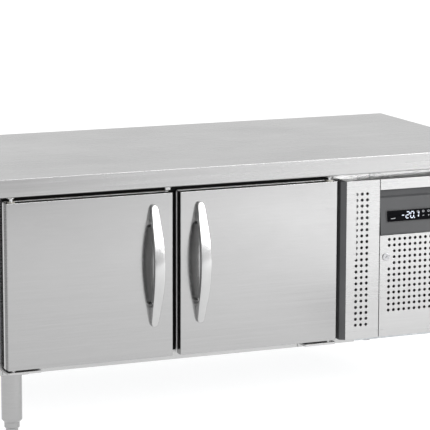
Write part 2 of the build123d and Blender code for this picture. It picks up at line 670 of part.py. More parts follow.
def make_pilaster():
    """Perforated fixed panel beside the doors, folded back on all sides."""
    x0, x1, z0, z1 = PILASTER_LEFT, PILASTER_RIGHT, BAY_FRONT_BOTTOM, BAY_FRONT_TOP
    face = block(x0, x1, DOOR_FRONT, DOOR_FRONT + SHEET, z0, z1)
    face = face.cut(*hole_grid(
        PILASTER_HOLES_X, PILASTER_HOLES_TOP, PILASTER_COLUMNS, PILASTER_ROWS,
        DOOR_FRONT - 1, DOOR_FRONT + 2,
    ))
    side = block(x0, x0 + SHEET, DOOR_FRONT, FRAME_FRONT, z0, z1)
    inner_return = block(x1 - SHEET, x1, DOOR_FRONT, DOOR_FRONT + 18, z0, z1)
    top = block(x0, x1, DOOR_FRONT, FRAME_FRONT + 14, z1 - SHEET, z1)
    bottom = block(x0, x1, DOOR_FRONT, DOOR_FRONT + 20, z0, z0 + SHEET)
    stiffener = block(x0, PILASTER_HOLES_X + 1.5, DOOR_FRONT + 3, DOOR_FRONT + 4, 372.0, z1 - 4)
    upstand = block(
        COLD_BODY_RIGHT + 1, x1, FRAME_FRONT + 13, FRAME_FRONT + 14, z1 - SHEET, UPSTAND_TOP
    )
    shape = face + side + inner_return + top + bottom + stiffener + upstand
    shape -= block(COLD_BODY_RIGHT - 130, COLD_BODY_RIGHT, FRAME_FRONT, FRAME_FRONT + 20, z1 - 2, z1 + 1)
    keep("pilaster", shape)


def make_corner_trim():
    """Dark plastic corner profile between the second door and the pilaster."""
    x1 = PILASTER_LEFT
    outline = [
        (x1 - 13.5, DOOR_FRONT + 8), (x1, DOOR_FRONT), (x1, DOOR_FRONT + 3),
        (x1 - 11.0, DOOR_FRONT + 10), (x1 - 11.0, FRAME_FRONT), (x1 - 13.5, FRAME_FRONT),
    ]
    face = make_face(Polyline(*outline, close=True))
    keep("corner_trim", Pos(0, 0, BAY_FRONT_BOTTOM) * extrude(face, BAY_FRONT_TOP - BAY_FRONT_BOTTOM))


def make_fascia():
    """Steel band, and the moulded control panel with its recess, ridge and leaning face."""
    band = block(PANEL_LEFT, PANEL_RIGHT, DOOR_FRONT, DOOR_FRONT + SHEET, BAND_BOTTOM, BAY_FRONT_TOP)
    band += block(PANEL_LEFT, PANEL_RIGHT, DOOR_FRONT, DOOR_FRONT + 60, BAY_FRONT_TOP - SHEET, BAY_FRONT_TOP)
    band += block(PANEL_LEFT, PANEL_RIGHT, DOOR_FRONT, DOOR_FRONT + 12, BAND_BOTTOM, BAND_BOTTOM + SHEET)
    band += block(PANEL_LEFT, PANEL_LEFT + SHEET, DOOR_FRONT, DOOR_FRONT + 14, BAND_BOTTOM, BAY_FRONT_TOP)
    band += block(
        PANEL_LEFT, PANEL_RIGHT - 3, FRAME_FRONT + 13, FRAME_FRONT + 14, BAY_FRONT_TOP - SHEET, UPSTAND_TOP
    )
    band -= block(BODY_RIGHT - 13, BODY_RIGHT, SIDE_FRONT - 1, 0, BAY_FRONT_TOP - 2, BAY_FRONT_TOP + 1)
    keep("top_band", band)

    recess_y, ridge_y, foot_y = DOOR_FRONT + 11, DOOR_FRONT + 6, DOOR_FRONT - 4
    wall = 3.0
    high, ridge, low = BAND_BOTTOM - 0.5, FASCIA_RIDGE, FASCIA_BOTTOM
    outer = [
        (recess_y, high), (recess_y, ridge + 5), (ridge_y, ridge), (foot_y, low + 4), (foot_y, low),
        (recess_y + wall + 14, low), (recess_y + wall + 14, high),
    ]
    hollow = [
        (recess_y + wall, high - wall), (recess_y + wall, ridge + 3), (ridge_y + wall, ridge - 1),
        (foot_y + wall, low + 5), (foot_y + wall, low + wall), (recess_y + wall + 20, low + wall),
        (recess_y + wall + 20, high - wall),
    ]
    plane = Plane(origin=(PANEL_LEFT, 0, 0), x_dir=(0, 1, 0), z_dir=(1, 0, 0))
    length = PANEL_RIGHT - PANEL_LEFT
    body = extrude(plane * make_face(Polyline(*outer, close=True)), length)
    cavity = extrude(plane * make_face(Polyline(*hollow, close=True)), length - 2 * wall)
    body -= Pos(wall, 0, 0) * cavity
    pin_seat = rod_z(PANEL_PIN_X, PANEL_PIN_Y, low - 1, low + 12, PANEL_PIN_RADIUS)
    post = block(PANEL_PIN_X - 6, PANEL_PIN_X + 5, PANEL_PIN_Y - 5, PANEL_PIN_Y + 9, low + 1, low + 12)
    fit = 2.5
    window = fascia_slab(
        DISPLAY_X0 - fit, DISPLAY_X1 + fit, DISPLAY_Z0 - fit, DISPLAY_Z1 + fit, -6, 1.0, 5.5
    )
    keep("control_fascia", body + post - pin_seat - window)


def fascia_slab(x0, x1, z0, z1, behind, before, corner):
    """A rounded slab parallel to the leaning control face, between two depths from it."""
    top = (DOOR_FRONT + 6, FASCIA_RIDGE)
    foot = (DOOR_FRONT - 4, FASCIA_BOTTOM + 4)
    slope = (top[0] - foot[0]) / (top[1] - foot[1])
    lean = Vector(0, slope, 1).normalized()
    middle_z = (z0 + z1) / 2
    face_y = foot[0] + slope * (middle_z - foot[1])
    normal = Vector(0, -lean.Z, lean.Y)
    plane = Plane(origin=((x0 + x1) / 2, face_y, middle_z), x_dir=(1, 0, 0), z_dir=normal)
    sketch = plane * RectangleRounded(x1 - x0, z1 - z0, corner)
    return extrude(sketch, before) + extrude(sketch, behind)


def make_controller():
    glass = fascia_slab(DISPLAY_X0, DISPLAY_X1, DISPLAY_Z0, DISPLAY_Z1, -2.0, 0.6, 3.5)
    keep("display_window", glass)
    opening = fascia_slab(DISPLAY_X0, DISPLAY_X1, DISPLAY_Z0, DISPLAY_Z1, -2.0, 3.0, 3.5)
    rim = 2.4
    frame = fascia_slab(
        DISPLAY_X0 - rim, DISPLAY_X1 + rim, DISPLAY_Z0 - rim, DISPLAY_Z1 + rim, -5.0, 0.9, 5.4
    )
    case = block(DISPLAY_X0, DISPLAY_X1, DOOR_FRONT + 7, DOOR_FRONT + 50, DISPLAY_Z0 + 1, DISPLAY_Z1 - 1)
    keep("controller", frame + case - opening)


def make_access_panel():
    """Hinged, perforated and lockable cover of the machine bay."""
    x0, x1, z0, z1 = PANEL_LEFT, PANEL_RIGHT, BAY_FRONT_BOTTOM, PANEL_TOP
    face = block(x0, x1, DOOR_FRONT, DOOR_FRONT + SHEET, z0, z1)
    no_holes = [(0, row) for row in (2, 3, 4)]
    face = face.cut(*hole_grid(
        PANEL_HOLES_X, PANEL_HOLES_TOP, PANEL_COLUMNS, PANEL_ROWS,
        DOOR_FRONT - 1, DOOR_FRONT + 2, no_holes,
    ))
    back = DOOR_FRONT + PANEL_RETURN
    edge = block(x0, x1, DOOR_FRONT, back, z0, z1) - block(
        x0 + SHEET, x1 - SHEET, DOOR_FRONT - 1, back + 1, z0 + SHEET, z1 - SHEET
    )
    panel = face + edge
    panel -= rod_y(LOCK_X, DOOR_FRONT - 1, DOOR_FRONT + 3, LOCK_Z, LOCK_BODY_RADIUS + RUNNING_FIT)
    for z in (z0 + SHEET / 2, z1 - SHEET / 2):
        panel -= rod_z(PANEL_PIN_X, PANEL_PIN_Y, z - 2, z + 2, PANEL_PIN_RADIUS + RUNNING_FIT)
    keep("access_panel", panel)


def make_lock():
    """Cam lock: a barrel with a key slot turns in the panel, its cam hooks behind the pilaster."""
    head = rod_y(LOCK_X, DOOR_FRONT - 2.8, DOOR_FRONT - 0.3, LOCK_Z, LOCK_RADIUS)
    head = fillet(head.faces().sort_by(Axis.Y)[0].edges(), 1.2)
    barrel = head + rod_y(LOCK_X, DOOR_FRONT - 1, DOOR_FRONT + 26, LOCK_Z, LOCK_BODY_RADIUS)
    key_slot = Pos(LOCK_X, DOOR_FRONT - 2, LOCK_Z) * Rot(0, 40, 0) * Box(1.6, 5, 8.5)
    recess = rod_y(LOCK_X, DOOR_FRONT - 4, DOOR_FRONT - 2.2, LOCK_Z, 5.6)
    keep("lock_barrel", barrel - key_slot - recess)
    cam_y = DOOR_FRONT + 26
    cam = rounded(block(LOCK_X - 7, LOCK_X + 7, cam_y, cam_y + 2, LOCK_Z - 8, LOCK_Z + 30), Axis.Y, 5.0)
    keep("lock_cam", cam)


def make_bay_structure():
    """Slide-out tray for the condensing unit, rear grille with its baffles, and power inlet."""
    left, right = COLD_BODY_RIGHT + 4, BODY_RIGHT - 18
    front, back = DOOR_FRONT + 24, BODY_BACK - 12
    tray = block(left, right, front, back, BAY_FLOOR, BAY_FLOOR + TRAY_SHEET)
    for x in (left, right - TRAY_SHEET):
        tray += block(x, x + TRAY_SHEET, front, back, BAY_FLOOR, BAY_FLOOR + 22)
    tray += block(left, right, front, front + TRAY_SHEET, BAY_FLOOR, BAY_FLOOR + 14)
    keep("machine_tray", tray)

    x0, x1, z0, z1 = COLD_BODY_RIGHT + 2, BODY_RIGHT - 17, BODY_BOTTOM + 40, LIP_BOTTOM - 4
    grille = block(x0, x1, BODY_BACK - TRAY_SHEET, BODY_BACK, z0, z1)
    slots, hoods = [], []
    slots_z = z0 + SLOT_RISE
    slots_top = slots_z + (GRILLE_ROWS - 1) * SLOT_PITCH_Z + SLOT_HEIGHT
    hood_z0, hood_z1 = slots_z - BAFFLE_LAP, slots_top + BAFFLE_LAP
    hood_y = BODY_BACK - BAFFLE_STANDOFF
    for column in range(GRILLE_COLUMNS):
        slot_x = x0 + SLOT_INSET_X + column * SLOT_PITCH_X
        hood_x0, hood_x1 = slot_x - BAFFLE_LAP, slot_x + SLOT_WIDTH + BAFFLE_LAP
        hoods.append(block(hood_x0, hood_x1, hood_y, hood_y + BAFFLE_SHEET, hood_z0, hood_z1))
        for x in (hood_x0, hood_x1 - BAFFLE_SHEET):
            hoods.append(block(x, x + BAFFLE_SHEET, hood_y, BODY_BACK, hood_z0, hood_z1))
        for row in range(GRILLE_ROWS):
            slot_z = slots_z + row * SLOT_PITCH_Z
            slots.append(
                block(slot_x, slot_x + SLOT_WIDTH, BODY_BACK - 3, BODY_BACK + 1, slot_z, slot_z + SLOT_HEIGHT)
            )
    grille = grille.cut(*slots).fuse(*hoods)
    inlet_x, inlet_z = x0 + 60, z0 + 46
    grille -= block(inlet_x - 15, inlet_x + 15, BODY_BACK - 3, BODY_BACK + 1, inlet_z - 12, inlet_z + 12)
    keep("rear_grille", grille)

    inlet = block(inlet_x - 15, inlet_x + 15, BODY_BACK - 24, BODY_BACK, inlet_z - 12, inlet_z + 12)
    inlet += block(inlet_x - 24, inlet_x + 24, BODY_BACK, BODY_BACK + 2.5, inlet_z - 15, inlet_z + 15)
    inlet -= block(inlet_x - 12, inlet_x + 12, BODY_BACK - 15, BODY_BACK + 3, inlet_z - 8.5, inlet_z + 8.5)
    for offset, rise in ((-7, 0), (0, 3), (7, 0)):
        inlet += block(
            inlet_x + offset - 1, inlet_x + offset + 1, BODY_BACK - 16, BODY_BACK - 2,
            inlet_z + rise - 2, inlet_z + rise + 2,
        )
    keep("mains_inlet", inlet)


def make_compressor(floor):
    """A hermetic compressor on four grooved rubber mounts, with its seam and terminal box."""
    x, y = COMPRESSOR_X, COMPRESSOR_Y
    mount_top = floor + COMPRESSOR_MOUNT_HEIGHT
    mounts = []
    for mount_x in (x - 78, x + 78):
        for mount_y in (y - 52, y + 52):
            mount = rod_z(mount_x, mount_y, floor, mount_top, 11)
            mount -= rod_z(mount_x, mount_y, floor + 3, mount_top - 2, 11)
            mounts.append(mount + rod_z(mount_x, mount_y, floor, mount_top, 8))
    keep("compressor_mounts", *mounts)

    can_low = mount_top + 2
    plate = rounded(block(x - 96, x + 96, y - 66, y + 66, mount_top, can_low), Axis.Z, 12.0)
    can = block(
        x - CAN_HALF_X, x + CAN_HALF_X, y - CAN_HALF_Y, y + CAN_HALF_Y, can_low, can_low + CAN_HEIGHT
    )
    can = rounded(can, Axis.Z, 52.0)
    can = fillet(can.faces().sort_by(Axis.Z)[-1].edges(), 30.0)
    seam_x, seam_y, seam_z = CAN_HALF_X + 4, CAN_HALF_Y + 4, can_low + 88
    seam = block(x - seam_x, x + seam_x, y - seam_y, y + seam_y, seam_z, seam_z + 6)
    seam = rounded(seam, Axis.Z, 55.0)
    box = block(x - 30, x + 34, y - 92, y - 55, can_low + 24, can_low + 84)
    keep("compressor", plate + can + seam + rounded(box, Axis.Y, 4.0))


def make_condenser(floor):
    """Finned coil, shroud with its collar, fan, and the motor on four arms."""
    fan_x, fan_y, fan_z = COND_FAN
    x0, x1 = fan_x - COIL_HALF_WIDTH, fan_x + COIL_HALF_WIDTH
    z0, z1 = floor + 6, floor + 6 + 2 * COIL_HALF_WIDTH
    coil_y0, coil_y1 = fan_y - 74, fan_y - 30
    fins = []
    for i in range(COIL_FINS):
        x = x0 + 4 + i * COIL_FIN_PITCH
        fins.append(block(x, x + 0.6, coil_y0, coil_y1, z0, z1))
    tubes = []
    for y in (coil_y0 + 11, coil_y1 - 11):
        for i in range(COIL_TUBES):
            tubes.append(rod_x(x0, x1, y, z0 + 16 + i * COIL_TUBE_PITCH, 4.5))
    plates = [block(x, x + 1.5, coil_y0 - 2, coil_y1, floor, z1) for x in (x0 - 1.5, x1)]
    keep("condenser_coil", fins[0].fuse(*fins[1:], *tubes, *plates))

    mouth, rim = COND_FAN_RADIUS + 4, COND_FAN_RADIUS + 6
    shroud = block(x0 - 1.5, x1 + 1.5, coil_y1, fan_y - 10, z0, z1)
    shroud -= block(x0, x1, coil_y1 - 1, fan_y - 12, z0 + 1.5, z1 - 1.5)
    shroud -= rod_y(fan_x, coil_y1, fan_y, fan_z, mouth)
    collar = rod_y(fan_x, fan_y - 12, fan_y + 10, fan_z, rim)
    shroud += collar - rod_y(fan_x, fan_y - 14, fan_y + 12, fan_z, mouth)
    keep("fan_shroud", shroud)

    motor_y = fan_y + 16
    reach = COND_FAN_RADIUS + 5
    motor = rod_y(fan_x, motor_y, motor_y + 48, fan_z, 30)
    motor += rod_y(fan_x, fan_y - 9, motor_y, fan_z, 2.0)
    for angle in (45, 135, 225, 315):
        turn = Rot(0, angle, 0)
        arm = turn * Pos(reach / 2 + 14, 0, 0) * Box(reach - 26, 3, 8)
        foot = turn * Pos(reach - 1, 0, 0) * Box(8, 9, 8)
        motor += Pos(fan_x, motor_y + 4, fan_z) * arm
        motor += Pos(fan_x, motor_y - 2, fan_z) * foot
    collar_room = rod_y(fan_x, fan_y - 14, fan_y + 10, fan_z, rim)
    motor -= collar_room - rod_y(fan_x, fan_y - 16, fan_y + 12, fan_z, 60)
    keep("condenser_fan_motor", motor)
    keep("condenser_fan", Pos(fan_x, fan_y, fan_z) * fan_blades(COND_FAN_RADIUS, 24, 16, 5, 28))


def pipe(points, radii, radius):
    """A round pipe along straight runs joined by bends."""
    path = FilletPolyline(*points, radius=radii)
    start = Plane(origin=path @ 0, z_dir=path % 0)
    return sweep(start * Circle(radius), path=path)


def make_pipes():
    """Discharge, suction, and the liquid line with its drier and capillary tube."""
    can_port_z = BAY_FLOOR + TRAY_SHEET + COMPRESSOR_MOUNT_HEIGHT + 2 + 70
    can_port_x = COMPRESSOR_X - CAN_HALF_X + 1
    top_z, coil_high_z, coil_low_z = 520.0, 415.5, 191.5
    wall_x = COLD_BODY_RIGHT + 0.5
    discharge_y, suction_y = COMPRESSOR_Y - 20, COMPRESSOR_Y + 10
    discharge = pipe(
        [
            (can_port_x, discharge_y, can_port_z), (RISER_X, discharge_y, can_port_z),
            (RISER_X, discharge_y, top_z), (RISER_X, COIL_PIPE_Y, top_z),
            (RISER_X, COIL_PIPE_Y, coil_high_z), (COIL_END_X, COIL_PIPE_Y, coil_high_z),
        ],
        [COPPER_BEND, COPPER_BEND, COPPER_BEND, LIQUID_BEND], 3.2,
    )
    suction_x, suction_z, room_y = RISER_X - 20, 420.0, 60.0
    suction = pipe(
        [
            (wall_x, room_y, suction_z), (suction_x, room_y, suction_z),
            (suction_x, suction_y, suction_z), (suction_x, suction_y, can_port_z - 12),
            (can_port_x, suction_y, can_port_z - 12),
        ],
        [COPPER_BEND] * 3, 5.0,
    )
    drier_z, drier_y0, drier_y1 = 350.0, -150.0, -40.0
    drier = rod_y(RISER_X, drier_y0, drier_y1, drier_z, 9.5)
    drier = fillet(drier.edges().filter_by(GeomType.CIRCLE), 5.0)
    liquid = pipe(
        [
            (COIL_END_X, COIL_PIPE_Y, coil_low_z), (RISER_X, COIL_PIPE_Y, coil_low_z),
            (RISER_X, COIL_PIPE_Y, drier_z), (RISER_X, drier_y0 + 1, drier_z),
        ],
        [LIQUID_BEND] * 2, 3.0,
    )
    capillary_z = 400.0
    capillary = pipe(
        [
            (RISER_X, drier_y1 - 1, drier_z), (RISER_X, 0, drier_z),
            (RISER_X, 0, capillary_z), (wall_x, 0, capillary_z),
        ],
        [LIQUID_BEND] * 2, 1.6,
    )
    keep("refrigerant_pipes", discharge, suction, liquid + drier + capillary)


# ---------------------------------------------------------------- legs, feet and fasteners


def make_legs():
    legs = []
    places = {
        "front_left": (-LEG_X, LEG_FRONT_Y),
        "front_right": (LEG_X, LEG_FRONT_Y),
        "rear_left": (-LEG_X, LEG_BACK_Y),
        "rear_right": (LEG_X, LEG_BACK_Y),
    }
    for name, (x, y) in places.items():
        tube = rod_z(x, y, LEG_BOTTOM, BODY_BOTTOM - 3, LEG_RADIUS)
        tube = chamfer(tube.faces().sort_by(Axis.Z)[0].edges(), 6.5, 5.5)
        plate = rounded(
            block(x - 36, x + 36, y - 36 + 2, y + 36 - 2, BODY_BOTTOM - 3, BODY_BOTTOM), Axis.Z, 8.0
        )
        leg = tube + plate - rod_z(x, y, LEG_BOTTOM - 1, BODY_BOTTOM - 12, LEG_BORE)
        legs.append(leg)
        collar = rod_z(x, y, FOOT_COLLAR_BOTTOM, LEG_BOTTOM - 0.4, FOOT_RADIUS)
        collar = chamfer(collar.faces().sort_by(Axis.Z)[0].edges(), 2.5)
        tip = rod_z(x, y, 0, FOOT_COLLAR_BOTTOM, FOOT_TIP_RADIUS)
        tip = fillet(tip.faces().sort_by(Axis.Z)[0].edges(), 3.0)
        stem = rod_z(x, y, LEG_BOTTOM - 0.4, FOOT_STEM_TOP, LEG_BORE - 0.5)
        keep(f"foot_{name}", collar + tip + stem)
    keep("legs", *legs)


def screw_down(x, y, z):
    """A pan-head screw whose head stands on a face at height z, seen from above."""
    head = rod_z(x, y, z, z + SCREW_RISE, SCREW_RADIUS)
    head = fillet(head.faces().sort_by(Axis.Z)[-1].edges(), 1.0)
    return head - block(
        x - 2.2, x + 2.2, y - SCREW_SLOT_HALF, y + SCREW_SLOT_HALF, z + SCREW_SLOT_FLOOR, z + 3
    )


def screw_up(x, y, z):
    """The same screw under a face at height z, seen from below."""
    head = rod_z(x, y, z - SCREW_RISE, z, SCREW_RADIUS)
    head = fillet(head.faces().sort_by(Axis.Z)[0].edges(), 1.0)
    return head - block(
        x - 2.2, x + 2.2, y - SCREW_SLOT_HALF, y + SCREW_SLOT_HALF, z - 3, z - SCREW_SLOT_FLOOR
    )


def screw_back(x, y, z):
    """The same screw on a face that looks backwards, at depth y."""
    head = rod_y(x, y, y + SCREW_RISE, z, SCREW_RADIUS)
    return head - block(
        x - 2.2, x + 2.2, y + SCREW_SLOT_FLOOR, y + 3, z - SCREW_SLOT_HALF, z + SCREW_SLOT_HALF
    )


def make_screws():
    screws = []
    for x in (PILASTER_LEFT + 47, PILASTER_RIGHT - 14):
        screws.append(screw_down(x, -316.0, BAY_FRONT_TOP))
    for x in (PANEL_LEFT + 23, PANEL_LEFT + 38, PANEL_RIGHT - 24):
        screws.append(screw_down(x, -306.0, BAY_FRONT_TOP))
    bracket_low = DOOR_BOTTOM - 5 - BRACKET_THICK
    for x in (-583.0, -571.0, 132.0, 144.0):
        screws.append(screw_up(x, -314.0, bracket_low))
    for x in (BODY_LEFT + 20, -300.0, 0.0, COLD_BODY_RIGHT - 20):
        for z in (BODY_BOTTOM + 20, LIP_BOTTOM - 20):
            screws.append(screw_back(x, BODY_BACK, z))
    for x in (COLD_BODY_RIGHT + 14, BODY_RIGHT - 28):
        for z in (BODY_BOTTOM + 60, LIP_BOTTOM - 20):
            screws.append(screw_back(x, BODY_BACK, z))
    keep("screws", *screws)


def main():
    make_worktop()
    make_outer_panels()
    make_insulation()
    make_liner()
    make_front_frame()
    make_frame_trim()
    left_axis = make_door("left", DOOR_LEFT_EDGE, True)
    right_axis = make_door("right", DOOR_RIGHT_EDGE - DOOR_WIDTH, False)
    make_hinges((left_axis, right_axis))
    make_shelving()
    make_evaporator()
    make_pilaster()
    make_corner_trim()
    make_fascia()
    make_controller()
    make_access_panel()
    make_lock()
    make_bay_structure()
    unit_floor = BAY_FLOOR + TRAY_SHEET
    make_compressor(unit_floor)
    make_condenser(unit_floor)
    make_pipes()
    make_legs()
    make_screws()

    # The handles stand out in front, so the whole box is centred over the origin here.
    handle_reach = HANDLE_MID_RISE - (DOOR_FRONT - LIP_FRONT)
    os.makedirs("parts", exist_ok=True)
    for name, shapes in parts.items():
        placed = [Pos(0, handle_reach / 2, 0) * shape for shape in shapes]
        whole = placed[0] if len(placed) == 1 else Compound(children=placed)
        export_step(whole, f"parts/{name}.step")
    print(len(parts), "sub-parts")


main()
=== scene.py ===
import math

import bmesh
import bpy
from mathutils import Matrix, Vector


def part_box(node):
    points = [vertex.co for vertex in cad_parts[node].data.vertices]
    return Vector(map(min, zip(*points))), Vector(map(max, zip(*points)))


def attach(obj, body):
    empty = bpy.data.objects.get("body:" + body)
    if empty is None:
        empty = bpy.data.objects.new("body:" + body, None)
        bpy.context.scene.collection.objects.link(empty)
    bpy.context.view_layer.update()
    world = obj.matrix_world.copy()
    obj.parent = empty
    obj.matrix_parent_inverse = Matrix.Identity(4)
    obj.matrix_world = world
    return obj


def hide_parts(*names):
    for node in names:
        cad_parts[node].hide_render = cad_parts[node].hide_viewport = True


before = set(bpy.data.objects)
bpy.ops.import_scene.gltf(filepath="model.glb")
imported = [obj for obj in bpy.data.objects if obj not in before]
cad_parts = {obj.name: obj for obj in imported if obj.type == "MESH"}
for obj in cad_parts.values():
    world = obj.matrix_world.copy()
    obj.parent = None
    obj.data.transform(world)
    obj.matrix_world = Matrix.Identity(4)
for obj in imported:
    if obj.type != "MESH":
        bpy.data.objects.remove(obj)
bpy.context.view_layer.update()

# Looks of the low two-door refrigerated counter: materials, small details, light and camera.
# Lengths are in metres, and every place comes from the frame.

# Camera: seen from the front left and a little above, through a long lens
CAMERA_PLACE = (-2.3733, -5.6251, 1.5473)
CAMERA_YAW = 23.033
CAMERA_PITCH = 10.176
CAMERA_ROLL = 0.1186
CAMERA_LENS = 201.65
CAMERA_SENSOR = 36.0
CAMERA_REACH = 60.0

# Light: the glow of the world and of the floor, and where the floor dims out of sight.
# The worktop's edge mirrors the far floor, and the bottoms of the bay's panels the near floor.
WORLD_LIGHT = 0.95
FLOOR_GLOW = 0.80
FLOOR_HALF = 14.0
FAR_DIM_X = (0.3, 2.6)
FAR_DIM_Y = (-3.7, -3.25)
NEAR_DIM_X = (0.5, 0.75)
NEAR_DIM_START_Y = (-1.9, -1.3)
NEAR_DIM_END_Y = (-0.95, -0.75)
NEAR_DIM = 0.6

# Area lights: name, place, width and height, watts, and the spot that each one points at
BODY_MIDDLE = (0, 0, 0.35)
LIGHTS = (
    ("light_front_right", (1.7, -3.9, 2.35), (3.2, 1.5), 80.0, BODY_MIDDLE),
    ("light_above", (0.3, -0.6, 3.8), (4.0, 3.0), 20.0, BODY_MIDDLE),
    ("light_on_floor", (2.0, -2.4, 1.2), (0.9, 3.4), 125.0, (2.0, -2.4, 0.0)),
)

# Bow handles: heights from the middle, and how far each spot stands out of the door
HANDLE_END_RISE = 0.008
HANDLE_SHOULDER = 0.070
HANDLE_SHOULDER_RISE = 0.0355
HANDLE_FOOT = 0.043
HANDLE_FOOT_EASE = 0.003
HANDLE_END_WIDTH = 0.016
HANDLE_TAPER = 1.8
HANDLE_EDGE = 0.0014
HANDLE_CROWN = 0.0004
# The metal alone and the metal with its grip, and how far the grip reaches from the middle
HANDLE_SHELL = 0.0034
HANDLE_BOW = 0.0145
GRIP_REACH = 0.096
GRIP_INSET = 0.0014
GRIP_LAP = 0.0004

# The door's inner pan laps its sides with a thin rounded rim, near the back
RIM_PROUD = 0.0021
RIM_BACK = 0.0235
RIM_DEPTH = 0.0055
RIM_CORNER = 0.004
RIM_ROOT = 0.0003

# Display: shares of the window's height, then distances from its left edge
DIGIT_HEIGHT = 0.56
DIGIT_WIDTH = 0.56
DIGIT_PITCH = 0.84
DIGIT_THICK = 0.15
DIGIT_LEAN = 0.14
DIGIT_START = 0.040
MARK_SIZE = 0.085
MARK_COLUMNS = (0.0880, 0.1030, 0.1180, 0.1330)
MARK_BAR = 0.0175
MARK_LOW = 0.00002
DIGIT_PROUD = 0.00022
MARK_PROUD = 0.00016


# ---------------------------------------------------------------- material helper


class Look:
    """One material on the standard shader, with short calls for the nodes that it needs."""

    def __init__(self, name, **sockets):
        self.material = bpy.data.materials.new(name)
        self.material.use_nodes = True
        self.tree = self.material.node_tree
        self.shader = self.tree.nodes["Principled BSDF"]
        for socket, value in sockets.items():
            self.shader.inputs[socket.replace("_", " ")].default_value = value
        self.coordinates = self.node("ShaderNodeTexCoord").outputs
        self.place = self.coordinates["Object"]
        self.rounding = None

    def node(self, kind, inputs=None, **settings):
        """A node with its settings, and its inputs as values or as links from other nodes."""
        made = self.tree.nodes.new(kind)
        for name, value in settings.items():
            setattr(made, name, value)
        for name, value in (inputs or {}).items():
            if isinstance(value, bpy.types.NodeSocket):
                self.tree.links.new(value, made.inputs[name])
            else:
                made.inputs[name].default_value = value
        return made

    def calc(self, operation, a, b=0.0):
        return self.node("ShaderNodeMath", {0: a, 1: b}, operation=operation).outputs[0]

    def scaled(self, place, sizes):
        made = self.node("ShaderNodeVectorMath", {0: place, 1: sizes}, operation="MULTIPLY")
        return made.outputs[0]

    def noise(self, sizes, detail=2.0, place=None, rough=0.5):
        """Soft noise from 0 to 1, with so many features a metre along each axis."""
        spot = self.scaled(place or self.place, sizes)
        inputs = {"Vector": spot, "Scale": 1.0, "Detail": detail, "Roughness": rough}
        return self.node("ShaderNodeTexNoise", inputs).outputs[0]

    def cells(self, size, **settings):
        """A pattern of cells, with size of them a metre."""
        inputs = {"Vector": self.place, "Scale": size}
        return self.node("ShaderNodeTexVoronoi", inputs, **settings)

    def spread(self, value, low, high, start=0.3, end=0.7):
        """Stretches a value so that start gives low and end gives high."""
        inputs = {"Value": value, "From Min": start, "From Max": end, "To Min": low, "To Max": high}
        return self.node("ShaderNodeMapRange", inputs, clamp=True).outputs[0]

    def blend(self, share, first, second, kind="RGBA"):
        """Mixes two colours or two vectors; share 0 gives the first."""
        inputs = {"RGBA": (0, 6, 7, 2), "VECTOR": (0, 4, 5, 1)}[kind]
        if kind == "RGBA":
            first, second = [(*c, 1.0) if isinstance(c, tuple) else c for c in (first, second)]
        made = self.node(
            "ShaderNodeMix", {inputs[0]: share, inputs[1]: first, inputs[2]: second}, data_type=kind
        )
        return made.outputs[inputs[3]]

    def along_sheet(self):
        """The place with X along the sheet on every face, the way that rolled grain runs."""
        split = self.node("ShaderNodeSeparateXYZ", {0: self.place}).outputs
        turned = self.node("ShaderNodeCombineXYZ", {0: split["Y"], 1: split["X"], 2: split["Z"]})
        facing = self.node("ShaderNodeSeparateXYZ", {0: self.coordinates["Normal"]}).outputs["X"]
        sideways = self.calc("GREATER_THAN", self.calc("ABSOLUTE", facing), 0.7)
        return self.blend(sideways, self.place, turned.outputs[0], "VECTOR")

    def round_edges(self, radius):
        """Softens the edges' shading; gives 1 at an edge and 0 on a flat face."""
        self.rounding = self.node("ShaderNodeBevel", {"Radius": radius}, samples=4).outputs[0]
        flat = self.node("ShaderNodeNewGeometry").outputs["Normal"]
        pair = {0: self.rounding, 1: flat}
        match = self.node("ShaderNodeVectorMath", pair, operation="DOT_PRODUCT")
        return self.spread(match.outputs["Value"], 1.0, 0.0, 0.75, 0.995)

    def sum(self, a, b):
        return self.calc("ADD", a, b)

    def product(self, a, b):
        return self.calc("MULTIPLY", a, b)

    def set(self, socket, value):
        self.tree.links.new(value, self.shader.inputs[socket])

    def bump(self, height, depth):
        inputs = {"Height": height, "Distance": depth, "Strength": 1.0}
        if self.rounding is not None:
            inputs["Normal"] = self.rounding
        self.rounding = self.node("ShaderNodeBump", inputs).outputs[0]
        self.set("Normal", self.rounding)


# ---------------------------------------------------------------- metals


def brushed_steel(name, shade, gloss, grain=1.0, around_z=False):
    """Stainless sheet: fine lines along the sheet, wider streaks, faint smears, and edges painted
    lighter, partly a painted edge highlight and partly edge wear.
    """
    look = Look(name, Metallic=1.0)
    if around_z:
        line = (30.0, 30.0, 1500.0)
        streak_size = (14.0, 14.0, 260.0)
        spot = look.place
    else:
        line = (14.0, 1500.0, 1500.0)
        streak_size = (3.0, 240.0, 240.0)
        spot = look.along_sheet()
    fine = look.noise(line, 2.0, spot)
    streak = look.noise(streak_size, 3.0, spot)
    smear = look.noise((4.0, 4.0, 5.0), 4.0, rough=0.6)
    rim = look.round_edges(0.0008)
    lines = look.sum(look.product(fine, 0.5), look.product(streak, 0.5))
    dark, light, bright = ((shade * k,) * 3 for k in (0.94, 1.045, 1.2))
    tone = look.blend(look.spread(lines, 0.0, 1.0), dark, light)
    # Lighter along the edges: partly a painted edge highlight, partly edge wear.
    look.set("Base Color", look.blend(look.product(rim, 0.4), tone, bright))
    smeared = look.spread(smear, gloss - 0.03, gloss + 0.05)
    look.set("Roughness", look.sum(look.spread(streak, -0.03, 0.04), smeared))
    look.bump(fine, 0.000008 * grain)
    look.bump(streak, 0.00002 * grain)
    return look.material


